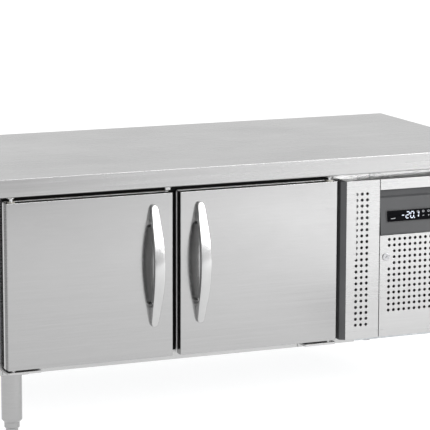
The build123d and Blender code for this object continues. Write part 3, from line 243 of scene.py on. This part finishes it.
def galvanised(name):
    """Zinc-coated sheet with its patchwork of crystals."""
    look = Look(name, Metallic=0.9)
    cells = look.cells(95.0)
    tint = look.node("ShaderNodeSeparateColor", {0: cells.outputs["Color"]}).outputs[0]
    cloud = look.noise((7.0, 7.0, 7.0), 4.0)
    look.set("Base Color", look.blend(tint, (0.40, 0.42, 0.44), (0.60, 0.62, 0.63)))
    dull = look.spread(tint, 0.28, 0.5, 0.0, 1.0)
    look.set("Roughness", look.sum(dull, look.spread(cloud, -0.05, 0.08)))
    look.round_edges(0.0006)
    look.bump(tint, 0.00002)
    return look.material


def plain_metal(name, colour, gloss, edge=0.0005):
    """A drawn, cast or plated metal: cloudy tone, fine pitting and brighter edges."""
    look = Look(name, Metallic=1.0)
    cloud = look.noise((60.0, 60.0, 60.0), 4.0)
    pits = look.noise((1800.0, 1800.0, 1800.0), 2.0)
    rim = look.round_edges(edge)
    dark = tuple(c * 0.9 for c in colour)
    light = tuple(min(1.0, c * 1.06) for c in colour)
    bright = tuple(min(1.0, c + 0.25) for c in colour)
    tone = look.blend(look.spread(cloud, 0.0, 1.0), dark, light)
    look.set("Base Color", look.blend(look.product(rim, 0.5), tone, bright))
    clouded = look.spread(cloud, gloss - 0.04, gloss + 0.05)
    look.set("Roughness", look.sum(clouded, look.spread(pits, -0.02, 0.02)))
    look.bump(pits, 0.000006)
    return look.material


def satin_cast(name, colour, gloss):
    """Polished casting: nearly even satin, with very shallow waves and hairlines."""
    look = Look(name, Metallic=1.0)
    wave = look.noise((35.0, 35.0, 20.0), 3.0)
    hair = look.noise((900.0, 900.0, 60.0), 2.0)
    dark = tuple(c * 0.97 for c in colour)
    light = tuple(c * 1.04 for c in colour)
    look.set("Base Color", look.blend(look.spread(wave, 0.0, 1.0), dark, light))
    waved = look.spread(wave, gloss - 0.015, gloss + 0.02)
    look.set("Roughness", look.sum(waved, look.spread(hair, -0.015, 0.015)))
    look.bump(hair, 0.000001)
    return look.material


def finned(name):
    """Thin aluminium fins: patches of dust and fine waves across them."""
    look = Look(name, Metallic=0.95)
    dust = look.noise((25.0, 25.0, 25.0), 5.0, rough=0.65)
    wave = look.noise((400.0, 30.0, 30.0), 2.0)
    dusty = look.spread(dust, 0.0, 1.0, 0.45, 0.75)
    look.set("Base Color", look.blend(dusty, (0.62, 0.63, 0.64), (0.38, 0.37, 0.35)))
    look.set("Roughness", look.spread(dust, 0.28, 0.5))
    look.bump(wave, 0.00005)
    return look.material


def copper(name):
    """Drawn copper tube, browned in patches by tarnish, and darker overall as painted shade, so the
    pipes behind the perforations read dark.
    """
    look = Look(name, Metallic=1.0)
    tarnish = look.noise((35.0, 35.0, 35.0), 5.0, rough=0.62)
    brown = look.spread(tarnish, 0.0, 1.0)
    # Both tones are darker than copper: painted shade, with tarnish in patches.
    look.set("Base Color", look.blend(brown, (0.50, 0.25, 0.16), (0.17, 0.08, 0.05)))
    look.set("Roughness", look.spread(tarnish, 0.22, 0.45))
    look.bump(look.noise((600.0, 600.0, 600.0)), 0.00001)
    return look.material


# ---------------------------------------------------------------- plastics, rubber, foam, paint


def moulded(name, colour, gloss, texture=0.00004, size=900.0, lift=0.05, shine=0.45):
    """Moulded plastic with a fine leather-like texture, worn a little lighter at its edges."""
    look = Look(name, Specular_IOR_Level=shine)
    cells = look.cells(size, feature="SMOOTH_F1").outputs["Distance"]
    cloud = look.noise((9.0, 9.0, 9.0), 4.0)
    rim = look.round_edges(0.0006)
    dark = tuple(c * 0.9 for c in colour)
    light = tuple(c * 1.08 for c in colour)
    worn = tuple(c * 1.15 + lift for c in colour)
    tone = look.blend(look.spread(cloud, 0.0, 1.0), dark, light)
    look.set("Base Color", look.blend(look.product(rim, 0.6), tone, worn))
    clouded = look.spread(cloud, gloss - 0.04, gloss + 0.05)
    look.set("Roughness", look.sum(clouded, look.spread(cells, 0.0, 0.04, 0.0, 1.0)))
    look.bump(cells, texture)
    return look.material


def grip_painted_by_facing(name, side_painted_dark, back_painted_pale):
    """Grip moulding with painted light: the back, which faces the door and lies in shade, is
    painted pale so that its reflection in the door reads lighter, and the sides are painted dark.
    """
    look = Look(name, Specular_IOR_Level=0.3)
    facing = look.node("ShaderNodeSeparateXYZ", {0: look.coordinates["Normal"]}).outputs["Y"]
    # Painted light: pale where a face turns to the door, dark where it turns sideways.
    back_painted_pale_share = look.spread(facing, 0.0, 1.0, 0.6, 0.9)
    cloud = look.noise((40.0, 40.0, 40.0), 3.0)
    cells = look.cells(1400.0, feature="SMOOTH_F1").outputs["Distance"]
    tone = look.blend(back_painted_pale_share, (side_painted_dark,) * 3, (back_painted_pale,) * 3)
    look.set("Base Color", look.blend(look.spread(cloud, 0.0, 0.12), tone, (0.08, 0.08, 0.08)))
    look.set("Roughness", look.spread(cells, 0.45, 0.55, 0.0, 1.0))
    look.bump(cells, 0.00003)
    return look.material


def rubber(name, colour):
    """Soft vinyl or rubber with a dull bloom."""
    look = Look(name, Specular_IOR_Level=0.35)
    bloom = look.noise((14.0, 14.0, 14.0), 5.0, rough=0.6)
    grain = look.noise((1500.0, 1500.0, 1500.0))
    pale = tuple(c * 1.3 + 0.01 for c in colour)
    look.set("Base Color", look.blend(look.spread(bloom, 0.0, 1.0), colour, pale))
    look.set("Roughness", look.spread(bloom, 0.5, 0.68))
    look.bump(grain, 0.00002)
    return look.material


def foam(name):
    """Pale rigid foam with open cells where it was cut."""
    look = Look(name, Specular_IOR_Level=0.2)
    cells = look.cells(700.0).outputs["Distance"]
    cloud = look.noise((12.0, 12.0, 12.0), 4.0)
    patch = look.spread(cloud, 0.0, 1.0)
    look.set("Base Color", look.blend(patch, (0.72, 0.62, 0.36), (0.82, 0.74, 0.50)))
    look.set("Roughness", look.spread(cells, 0.75, 0.95, 0.0, 1.0))
    look.bump(cells, 0.0003)
    return look.material


def black_glass(name):
    """The display's smoked window: gloss black with faint dust and wiping marks."""
    look = Look(name, Specular_IOR_Level=0.05)
    wipe = look.noise((30.0, 30.0, 140.0), 4.0)
    film = look.spread(wipe, 0.0, 1.0)
    look.set("Base Color", look.blend(film, (0.001, 0.001, 0.0015), (0.003, 0.003, 0.004)))
    look.set("Roughness", look.spread(wipe, 0.10, 0.2))
    look.bump(look.noise((60.0, 60.0, 60.0)), 0.00001)
    return look.material


def glowing(name, colour, strength):
    """Lit marks behind the window, a little uneven like a real diffuser."""
    look = Look(name, Roughness=0.5, Emission_Strength=strength)
    patch = look.noise((500.0, 500.0, 500.0), 2.0)
    glow = look.blend(look.spread(patch, 0.0, 1.0), tuple(c * 0.82 for c in colour), colour)
    look.set("Base Color", look.blend(patch, (0.10, 0.10, 0.11), (0.14, 0.14, 0.15)))
    look.set("Emission Color", glow)
    return look.material


def painted(name, colour, gloss):
    """Sprayed enamel with orange peel."""
    look = Look(name, Coat_Weight=0.3, Coat_Roughness=0.15)
    peel = look.noise((420.0, 420.0, 420.0), 2.0)
    dust = look.noise((18.0, 18.0, 18.0), 5.0, rough=0.6)
    rim = look.round_edges(0.0012)
    dusty = tuple(c * 1.5 + 0.01 for c in colour)
    tone = look.blend(look.spread(dust, 0.0, 1.0), colour, dusty)
    look.set("Base Color", look.blend(look.product(rim, 0.35), tone, (0.22, 0.22, 0.22)))
    look.set("Roughness", look.spread(dust, gloss, gloss + 0.12))
    look.bump(peel, 0.00006)
    return look.material


MATERIALS = {
    "worktop_steel": brushed_steel("worktop_steel_brushed", 0.405, 0.24),
    "body_steel": brushed_steel("body_steel_brushed", 0.46, 0.28, 0.5),
    "door_steel": brushed_steel("door_steel_brushed", 0.38, 0.16, 0.4),
    "liner_steel": brushed_steel("liner_steel_satin", 0.58, 0.34, 0.7),
    "leg_steel": brushed_steel("leg_steel_turned", 0.38, 0.22, 0.8, around_z=True),
    "foot_steel": brushed_steel("foot_steel_turned", 0.36, 0.24, 0.9, around_z=True),
    "galvanised": galvanised("galvanised_spangle"),
    "foam": foam("insulation_foam"),
    "gasket_rubber": rubber("gasket_vinyl_grey", (0.09, 0.09, 0.09)),
    "black_plastic": moulded("black_plastic_textured", (0.018, 0.018, 0.019), 0.42, lift=0.02),
    "trim_plastic": moulded("grey_plastic_textured", (0.043, 0.044, 0.046), 0.42, shine=0.35),
    "display": black_glass("display_smoked"),
    "handle_metal": satin_cast("handle_cast_satin", (0.50, 0.50, 0.50), 0.22),
    # The grip's pale back and dark sides are painted light, set by which way each face turns.
    "grip_plastic": grip_painted_by_facing("grip_plastic_painted_light", 0.15, 0.72),
    "nylon": moulded("nylon_natural", (0.62, 0.60, 0.54), 0.4, size=1600.0),
    "pin_steel": plain_metal("pin_ground", (0.60, 0.60, 0.61), 0.2),
    "lock_chrome": plain_metal("lock_plated", (0.40, 0.40, 0.41), 0.26, 0.0004),
    "shelf_wire": moulded(
        "shelf_coating", (0.66, 0.67, 0.68), 0.3, texture=0.00002, size=2200.0, lift=0.0
    ),
    "fin_aluminium": finned("fins_aluminium"),
    "motor_metal": plain_metal("motor_plated", (0.48, 0.48, 0.47), 0.38),
    "compressor_paint": painted("compressor_enamel", (0.012, 0.012, 0.013), 0.28),
    "copper": copper("copper_tarnished_painted_shade"),
}


# Nodes whose finish differs from the rest of their slot
NODE_MATERIALS = {
    "corner_trim": moulded("corner_plastic_dark", (0.068, 0.069, 0.071), 0.45, shine=0.15),
    "frame_trim": moulded("breaker_strip_black", (0.008, 0.008, 0.008), 0.5, lift=0.0, shine=0.15),
    # The condenser coil is near-black: painted shade, so the bay behind the perforations reads
    # dark.
    "condenser_coil": painted("coil_painted_shade", (0.010, 0.010, 0.011), 0.4),
    "compressor_mounts": rubber("mount_rubber_black", (0.012, 0.012, 0.013)),
}


def dress_nodes():
    """Gives every CAD node the finish of its slot, or its own."""
    for name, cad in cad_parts.items():
        for holder in cad.material_slots:
            holder.material = NODE_MATERIALS.get(name) or MATERIALS[holder.material.name]


# ---------------------------------------------------------------- small pieces


def mesh_piece(name, build, material, body, smooth=False):
    """A new piece from a bmesh that build fills; it rides on a body and takes a slot's finish."""
    mesh = bpy.data.meshes.new(name)
    shape = bmesh.new()
    build(shape)
    bmesh.ops.remove_doubles(shape, verts=shape.verts, dist=0.00001)
    bmesh.ops.recalc_face_normals(shape, faces=shape.faces)
    for face in shape.faces:
        face.smooth = smooth
    shape.to_mesh(mesh)
    shape.free()
    piece = bpy.data.objects.new(name, mesh)
    bpy.context.scene.collection.objects.link(piece)
    mesh.materials.append(material)
    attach(piece, body)
    return piece


def prism(shape, outline, frame_matrix, low, high):
    """A flat outline pulled between two heights of a local frame."""
    rings = []
    for height in (low, high):
        rings.append([shape.verts.new(frame_matrix @ Vector((x, y, height))) for x, y in outline])
    count = len(outline)
    shape.faces.new(rings[0][::-1])
    shape.faces.new(rings[1])
    for i in range(count):
        j = (i + 1) % count
        shape.faces.new((rings[0][i], rings[0][j], rings[1][j], rings[1][i]))


def face_frame(node, towards):
    """A local frame on a node's largest flat face that looks one way: X to the right, Y up."""
    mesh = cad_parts[node].data
    facing = [p for p in mesh.polygons if p.normal.dot(towards) > 0.9]
    normal = sum((p.normal * p.area for p in facing), Vector()).normalized()
    right = Vector((1, 0, 0))
    up = normal.cross(right).normalized()
    low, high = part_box(node)
    depth = max(normal.dot(mesh.vertices[i].co) for p in facing for i in p.vertices)
    centre = (low + high) / 2
    centre += normal * (depth - normal.dot(centre))
    return Matrix((
        (right.x, up.x, normal.x, centre.x),
        (right.y, up.y, normal.y, centre.y),
        (right.z, up.z, normal.z, centre.z),
        (0, 0, 0, 1),
    ))


class Bow:
    """The sizes of one handle at each height s from its middle, from its CAD box."""

    def __init__(self, node, door):
        low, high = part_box(node)
        self.x = (low.x + high.x) / 2
        self.z = (low.z + high.z) / 2
        self.half = (high.z - low.z) / 2
        self.width = high.x - low.x
        self.front_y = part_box(door)[0].y
        self.rise = self.front_y - low.y

    def half_width(self, s):
        """A leaf in outline, with round ends."""
        share = min(1.0, abs(s) / self.half)
        leaf = (self.width - (self.width - HANDLE_END_WIDTH) * share**HANDLE_TAPER) / 2
        round_end = HANDLE_END_WIDTH / 2
        past = abs(s) - (self.half - round_end)
        if past > 0:
            leaf = min(leaf, math.sqrt(max(round_end**2 - past**2, 0.0)))
        return max(leaf, 0.0003)

    def front(self, s):
        """How far the front stands out: slopes up to the shoulders, an arc between them."""
        s = abs(s)
        if s > HANDLE_SHOULDER:
            share = (self.half - s) / (self.half - HANDLE_SHOULDER)
            rise = HANDLE_END_RISE + (HANDLE_SHOULDER_RISE - HANDLE_END_RISE) * share
        else:
            sagitta = self.rise - HANDLE_SHOULDER_RISE
            radius = (HANDLE_SHOULDER**2 + sagitta**2) / (2 * sagitta)
            rise = self.rise - radius + math.sqrt(radius**2 - s**2)
        past = s - (self.half - HANDLE_EDGE)
        if past > 0:
            rise -= HANDLE_EDGE - math.sqrt(max(HANDLE_EDGE**2 - past**2, 0.0))
        return rise

    def back(self, s):
        """How far out the back is: on the door at the feet, behind the metal elsewhere."""
        reach = self.half - HANDLE_FOOT
        if abs(s) >= reach:
            return 0.0
        blend = min(1.0, max(0.0, (abs(s) - GRIP_REACH) / (reach - GRIP_REACH)))
        thick = HANDLE_SHELL + (HANDLE_BOW - HANDLE_SHELL) * min(1.0, blend * 3)
        ease = min(1.0, (reach - abs(s)) / HANDLE_FOOT_EASE)
        return (self.front(s) - thick) * math.sqrt(1 - (1 - ease) ** 2)

    def stations(self):
        """Heights for the cross sections, closer together where the shape turns."""
        reach = self.half - HANDLE_FOOT
        spots = {0.0, reach, self.half}
        spots |= {reach - HANDLE_FOOT_EASE * k for k in (0.2, 0.5, 1.0)}
        spots |= {self.half * i / 40 for i in range(40)}
        spots |= {self.half - HANDLE_EDGE * k for k in (0.1, 0.3, 0.6, 1.0, 1.6, 2.4)}
        return sorted({-s for s in spots} | spots)


def section(half, back, front, edge, crown):
    """Points round one cross section, from the back left, over the front, to the back right."""
    edge = min(edge, half * 0.9, (front - back) * 0.45)
    points = [(-half, back)]
    for i in range(5):
        a = math.pi / 2 * i / 4
        points.append((-half + edge * (1 - math.cos(a)), front - crown - edge * (1 - math.sin(a))))
    for i in range(1, 8):
        x = (-1 + 2 * i / 8) * (half - edge)
        points.append((x, front - crown * (x / max(half, 1e-6)) ** 2))
    points += [(-x, y) for x, y in points[5::-1]]
    return points


def bow_loft(shape, bow, spots, sizes, crown):
    """Cross sections at each height joined by quads; sizes gives half width, back and front."""
    rings = []
    for s in spots:
        half, back, front = sizes(s)
        ring = []
        for x, rise in section(half, back, front, HANDLE_EDGE, crown):
            ring.append(shape.verts.new((bow.x + x, bow.front_y - rise, bow.z + s)))
        rings.append(ring)
    for first, second in zip(rings, rings[1:]):
        count = len(first)
        for i in range(count):
            j = (i + 1) % count
            shape.faces.new((first[i], first[j], second[j], second[i]))
    shape.faces.new(rings[0])
    shape.faces.new(rings[-1][::-1])


def make_handle(side):
    """The bow handle with its rounded edges, and the soft grip set into its back."""
    bow = Bow(f"door_{side}_handle", f"door_{side}_skin")

    def shell(s):
        return bow.half_width(s), bow.back(s), bow.front(s)

    def grip(s):
        ease = math.sqrt(max(0.0, 1 - (abs(s) / GRIP_REACH) ** 14))
        front = bow.front(s) - HANDLE_SHELL + GRIP_LAP
        depth = (HANDLE_BOW - HANDLE_SHELL) * ease + GRIP_LAP
        return (bow.half_width(s) - GRIP_INSET) * (0.8 + 0.2 * ease), front - depth, front

    body = f"door_{side}"
    handle = mesh_piece(
        f"handle_{side}",
        lambda shape: bow_loft(shape, bow, bow.stations(), shell, HANDLE_CROWN),
        MATERIALS["handle_metal"], body, smooth=True,
    )
    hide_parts(f"door_{side}_handle")
    spots = [GRIP_REACH * i / 30 for i in range(-30, 31)]
    insert = mesh_piece(
        f"handle_grip_{side}", lambda shape: bow_loft(shape, bow, spots, grip, 0.0),
        MATERIALS["grip_plastic"], body, smooth=True,
    )
    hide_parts(f"door_{side}_grip")


def rounded_rectangle(x0, x1, z0, z1, corner, steps=5):
    """Points round a rectangle with round corners."""
    centres = ((x1, z1, 0), (x0, z1, 90), (x0, z0, 180), (x1, z0, 270))
    spots = []
    for cx, cz, start in centres:
        inner_x = cx - corner if cx == x1 else cx + corner
        inner_z = cz - corner if cz == z1 else cz + corner
        for i in range(steps + 1):
            a = math.radians(start + 90 * i / steps)
            spots.append((inner_x + corner * math.cos(a), inner_z + corner * math.sin(a)))
    return spots


def make_door_rim(side):
    """The lapped rim round the door's sides, as a closed loop of a half-round section."""
    low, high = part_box(f"door_{side}_skin")
    start = low.y + RIM_BACK
    profile = [(-RIM_ROOT, start)]
    for i in range(7):
        a = math.pi * i / 6
        profile.append((RIM_PROUD * math.sin(a), start + RIM_DEPTH * (1 - math.cos(a)) / 2))
    profile.append((-RIM_ROOT, start + RIM_DEPTH))

    def build(shape):
        loops = []
        for proud, y in profile:
            outline = rounded_rectangle(
                low.x - proud, high.x + proud, low.z - proud, high.z + proud, RIM_CORNER + proud
            )
            loops.append([shape.verts.new((x, y, z)) for x, z in outline])
        count = len(loops[0])
        for first, second in zip(loops, loops[1:] + loops[:1]):
            for i in range(count):
                j = (i + 1) % count
                shape.faces.new((first[i], first[j], second[j], second[i]))

    mesh_piece(
        f"door_rim_{side}", build, MATERIALS["liner_steel"], f"door_{side}",
        smooth=True,
    )


# The bars that each character lights
SEGMENTS = {"-": "g", "0": "abcdef", "1": "bc", "2": "abged"}


def segment_bars(width, height, thick):
    """The seven bars of a digit: the ends of each, along a middle line."""
    x0, x1, y0, ym, y1 = 0.0, width, 0.0, height / 2, height
    gap = thick * 0.3
    return {
        "a": ((x0 + gap, y1), (x1 - gap, y1)),
        "b": ((x1, y1 - gap), (x1, ym + gap)),
        "c": ((x1, ym - gap), (x1, y0 + gap)),
        "d": ((x1 - gap, y0), (x0 + gap, y0)),
        "e": ((x0, y0 + gap), (x0, ym - gap)),
        "f": ((x0, ym + gap), (x0, y1 - gap)),
        "g": ((x0 + gap, ym), (x1 - gap, ym)),
    }


def bar_outline(start, end, thick):
    """A bar with pointed ends."""
    start, end = Vector(start), Vector(end)
    along = (end - start).normalized()
    across = Vector((-along.y, along.x)) * thick / 2
    nose = along * thick / 2
    return [
        start, start + nose - across, end - nose - across,
        end, end - nose + across, start + nose + across,
    ]


def make_digits():
    """Temperature on the display: three digits, a minus and a point, leaning like a real one."""
    window = face_frame("display_window", Vector((0, -1, 0)))
    low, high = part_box("display_window")
    height = (high.z - low.z) * DIGIT_HEIGHT
    width, pitch, thick = (height * share for share in (DIGIT_WIDTH, DIGIT_PITCH, DIGIT_THICK))
    start_x = (low.x - (low.x + high.x) / 2) + DIGIT_START
    base_y = -height * 0.46
    lit = glowing("display_digits_lit", (0.78, 0.86, 1.0), 1.1)

    def build(shape):
        bars = segment_bars(width, height, thick)
        for place, character in enumerate("-201"):
            left = start_x + place * pitch + (0.0012 if character == "1" else 0.0)
            for name in SEGMENTS[character]:
                outline = []
                for point in bar_outline(*bars[name], thick):
                    outline.append((left + point.x + point.y * DIGIT_LEAN, base_y + point.y))
                prism(shape, outline, window, MARK_LOW, DIGIT_PROUD)
        dot_x = start_x + 3 * pitch - (pitch - width) * 0.32
        dot = [
            (dot_x + thick * 0.6 * math.cos(a), base_y + thick * 0.6 * math.sin(a))
            for a in (math.tau * i / 10 for i in range(10))
        ]
        prism(shape, dot, window, MARK_LOW, DIGIT_PROUD)

    mesh_piece("display_digits", build, lit, "cabinet")


def arc_points(centre, radius, start, end, count):
    """Points along an arc between two angles in degrees."""
    spots = []
    for i in range(count + 1):
        a = math.radians(start + (end - start) * i / count)
        spots.append((centre[0] + radius * math.cos(a), centre[1] + radius * math.sin(a)))
    return spots


def stroke_outline(points, thick):
    """A line of even thickness along points, as a closed outline."""
    left, right = [], []
    for i, point in enumerate(points):
        here = Vector(point)
        before = Vector(points[max(i - 1, 0)])
        after = Vector(points[min(i + 1, len(points) - 1)])
        along = (after - before).normalized()
        across = Vector((-along.y, along.x)) * thick / 2
        left.append(here + across)
        right.append(here - across)
    return [tuple(p) for p in left + right[::-1]]


def make_touch_marks():
    """Printed marks: rings over arrows and dashes right of the digits, and a bar at the left."""
    window = face_frame("display_window", Vector((0, -1, 0)))
    low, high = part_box("display_window")
    middle = (low.x + high.x) / 2
    size = (high.z - low.z) * MARK_SIZE
    upper, lower = size * 3.1, -size * 1.6
    printed = glowing("display_marks_printed", (0.55, 0.56, 0.58), 0.55)

    def build(shape):
        def put(outline):
            prism(shape, outline, window, MARK_LOW, MARK_PROUD)

        for column, offset in enumerate(MARK_COLUMNS):
            x = low.x + offset - middle
            ring = arc_points((x, upper), size, 90 + 14, 450 - 14, 18)
            put(stroke_outline(ring, size * 0.55))
            if column % 2 == 0:
                shoulder = lower + size * 0.6
                put([(x - size, shoulder), (x, lower - size * 0.8), (x + size, shoulder)])
            else:
                line = [(x - size, lower), (x, lower + size * 0.2), (x + size, lower + size * 0.4)]
                put(stroke_outline(line, size * 0.6))
        x = low.x + MARK_BAR - middle
        reach = size * 2.6
        bar = [(x - reach, lower - size), (x, lower - size * 1.1), (x + reach, lower - size * 0.7)]
        put(stroke_outline(bar, size * 0.7))

    mesh_piece("display_touch_marks", build, printed, "cabinet")


def make_floor():
    """A wide pale floor that glows, dimmer in two places out of the camera's sight."""
    mesh = bpy.data.meshes.new("studio_floor")
    shape = bmesh.new()
    bmesh.ops.create_grid(shape, x_segments=8, y_segments=8, size=FLOOR_HALF)
    shape.to_mesh(mesh)
    shape.free()
    floor = bpy.data.objects.new("studio_floor", mesh)
    bpy.context.scene.collection.objects.link(floor)
    look = Look("pale_floor", Roughness=0.9, Emission_Strength=FLOOR_GLOW, Specular_IOR_Level=0.1)
    cloud = look.noise((1.5, 1.5, 1.5), 3.0)
    look.set("Base Color", look.blend(cloud, (0.29, 0.29, 0.292), (0.31, 0.31, 0.31)))
    spot = look.node("ShaderNodeSeparateXYZ", {0: look.place}).outputs
    across = look.spread(spot["X"], 0.05, 1.0, *FAR_DIM_X)
    far = look.spread(spot["Y"], 1.0, 0.0, *FAR_DIM_Y)
    far_dim = look.product(look.calc("SUBTRACT", 1.0, across), far)
    beside = look.spread(spot["X"], 0.0, 1.0, *NEAR_DIM_X)
    begun = look.spread(spot["Y"], 0.0, 1.0, *NEAR_DIM_START_Y)
    ended = look.spread(spot["Y"], 1.0, 0.0, *NEAR_DIM_END_Y)
    patch = look.product(look.product(beside, begun), ended)
    dim = look.calc("MAXIMUM", far_dim, look.product(patch, NEAR_DIM))
    look.set("Emission Color", look.blend(dim, (1.0, 1.0, 1.0), (0.0, 0.0, 0.0)))
    mesh.materials.append(look.material)


# ---------------------------------------------------------------- light and camera


def soft_light(name, place, size, power, target):
    """A rectangular area light that points at a target."""
    light = bpy.data.lights.new(name, "AREA")
    light.shape = "RECTANGLE"
    light.size, light.size_y = size
    light.energy = power
    holder = bpy.data.objects.new(name, light)
    holder.location = place
    holder.rotation_mode = "QUATERNION"
    holder.rotation_quaternion = (Vector(target) - Vector(place)).to_track_quat("-Z", "Y")
    holder.visible_camera = False
    bpy.context.scene.collection.objects.link(holder)


def make_light():
    """An even pale world, two softboxes and a lamp that brightens the floor off to the right."""
    world = bpy.data.worlds.new("pale_studio")
    bpy.context.scene.world = world
    world.use_nodes = True
    back = world.node_tree.nodes["Background"]
    back.inputs["Color"].default_value = (1.0, 1.0, 1.0, 1.0)
    back.inputs["Strength"].default_value = WORLD_LIGHT
    for light in LIGHTS:
        soft_light(*light)


def make_camera():
    """The camera, turned by yaw, then pitch, then roll."""
    camera = bpy.data.cameras.new("camera")
    camera.lens = CAMERA_LENS
    camera.sensor_width = CAMERA_SENSOR
    camera.clip_end = CAMERA_REACH
    holder = bpy.data.objects.new("camera", camera)
    yaw, pitch, roll = (math.radians(a) for a in (CAMERA_YAW, CAMERA_PITCH, CAMERA_ROLL))
    turn = Matrix.Rotation(-yaw, 4, "Z") @ Matrix.Rotation(math.pi / 2 - pitch, 4, "X")
    holder.matrix_world = Matrix.Translation(CAMERA_PLACE) @ turn @ Matrix.Rotation(roll, 4, "Z")
    bpy.context.scene.collection.objects.link(holder)
    bpy.context.scene.camera = holder


dress_nodes()
for door_side in ("left", "right"):
    make_handle(door_side)
    make_door_rim(door_side)
make_digits()
make_touch_marks()
make_floor()
make_light()
make_camera()
bpy.context.scene.view_settings.view_transform = "Standard"
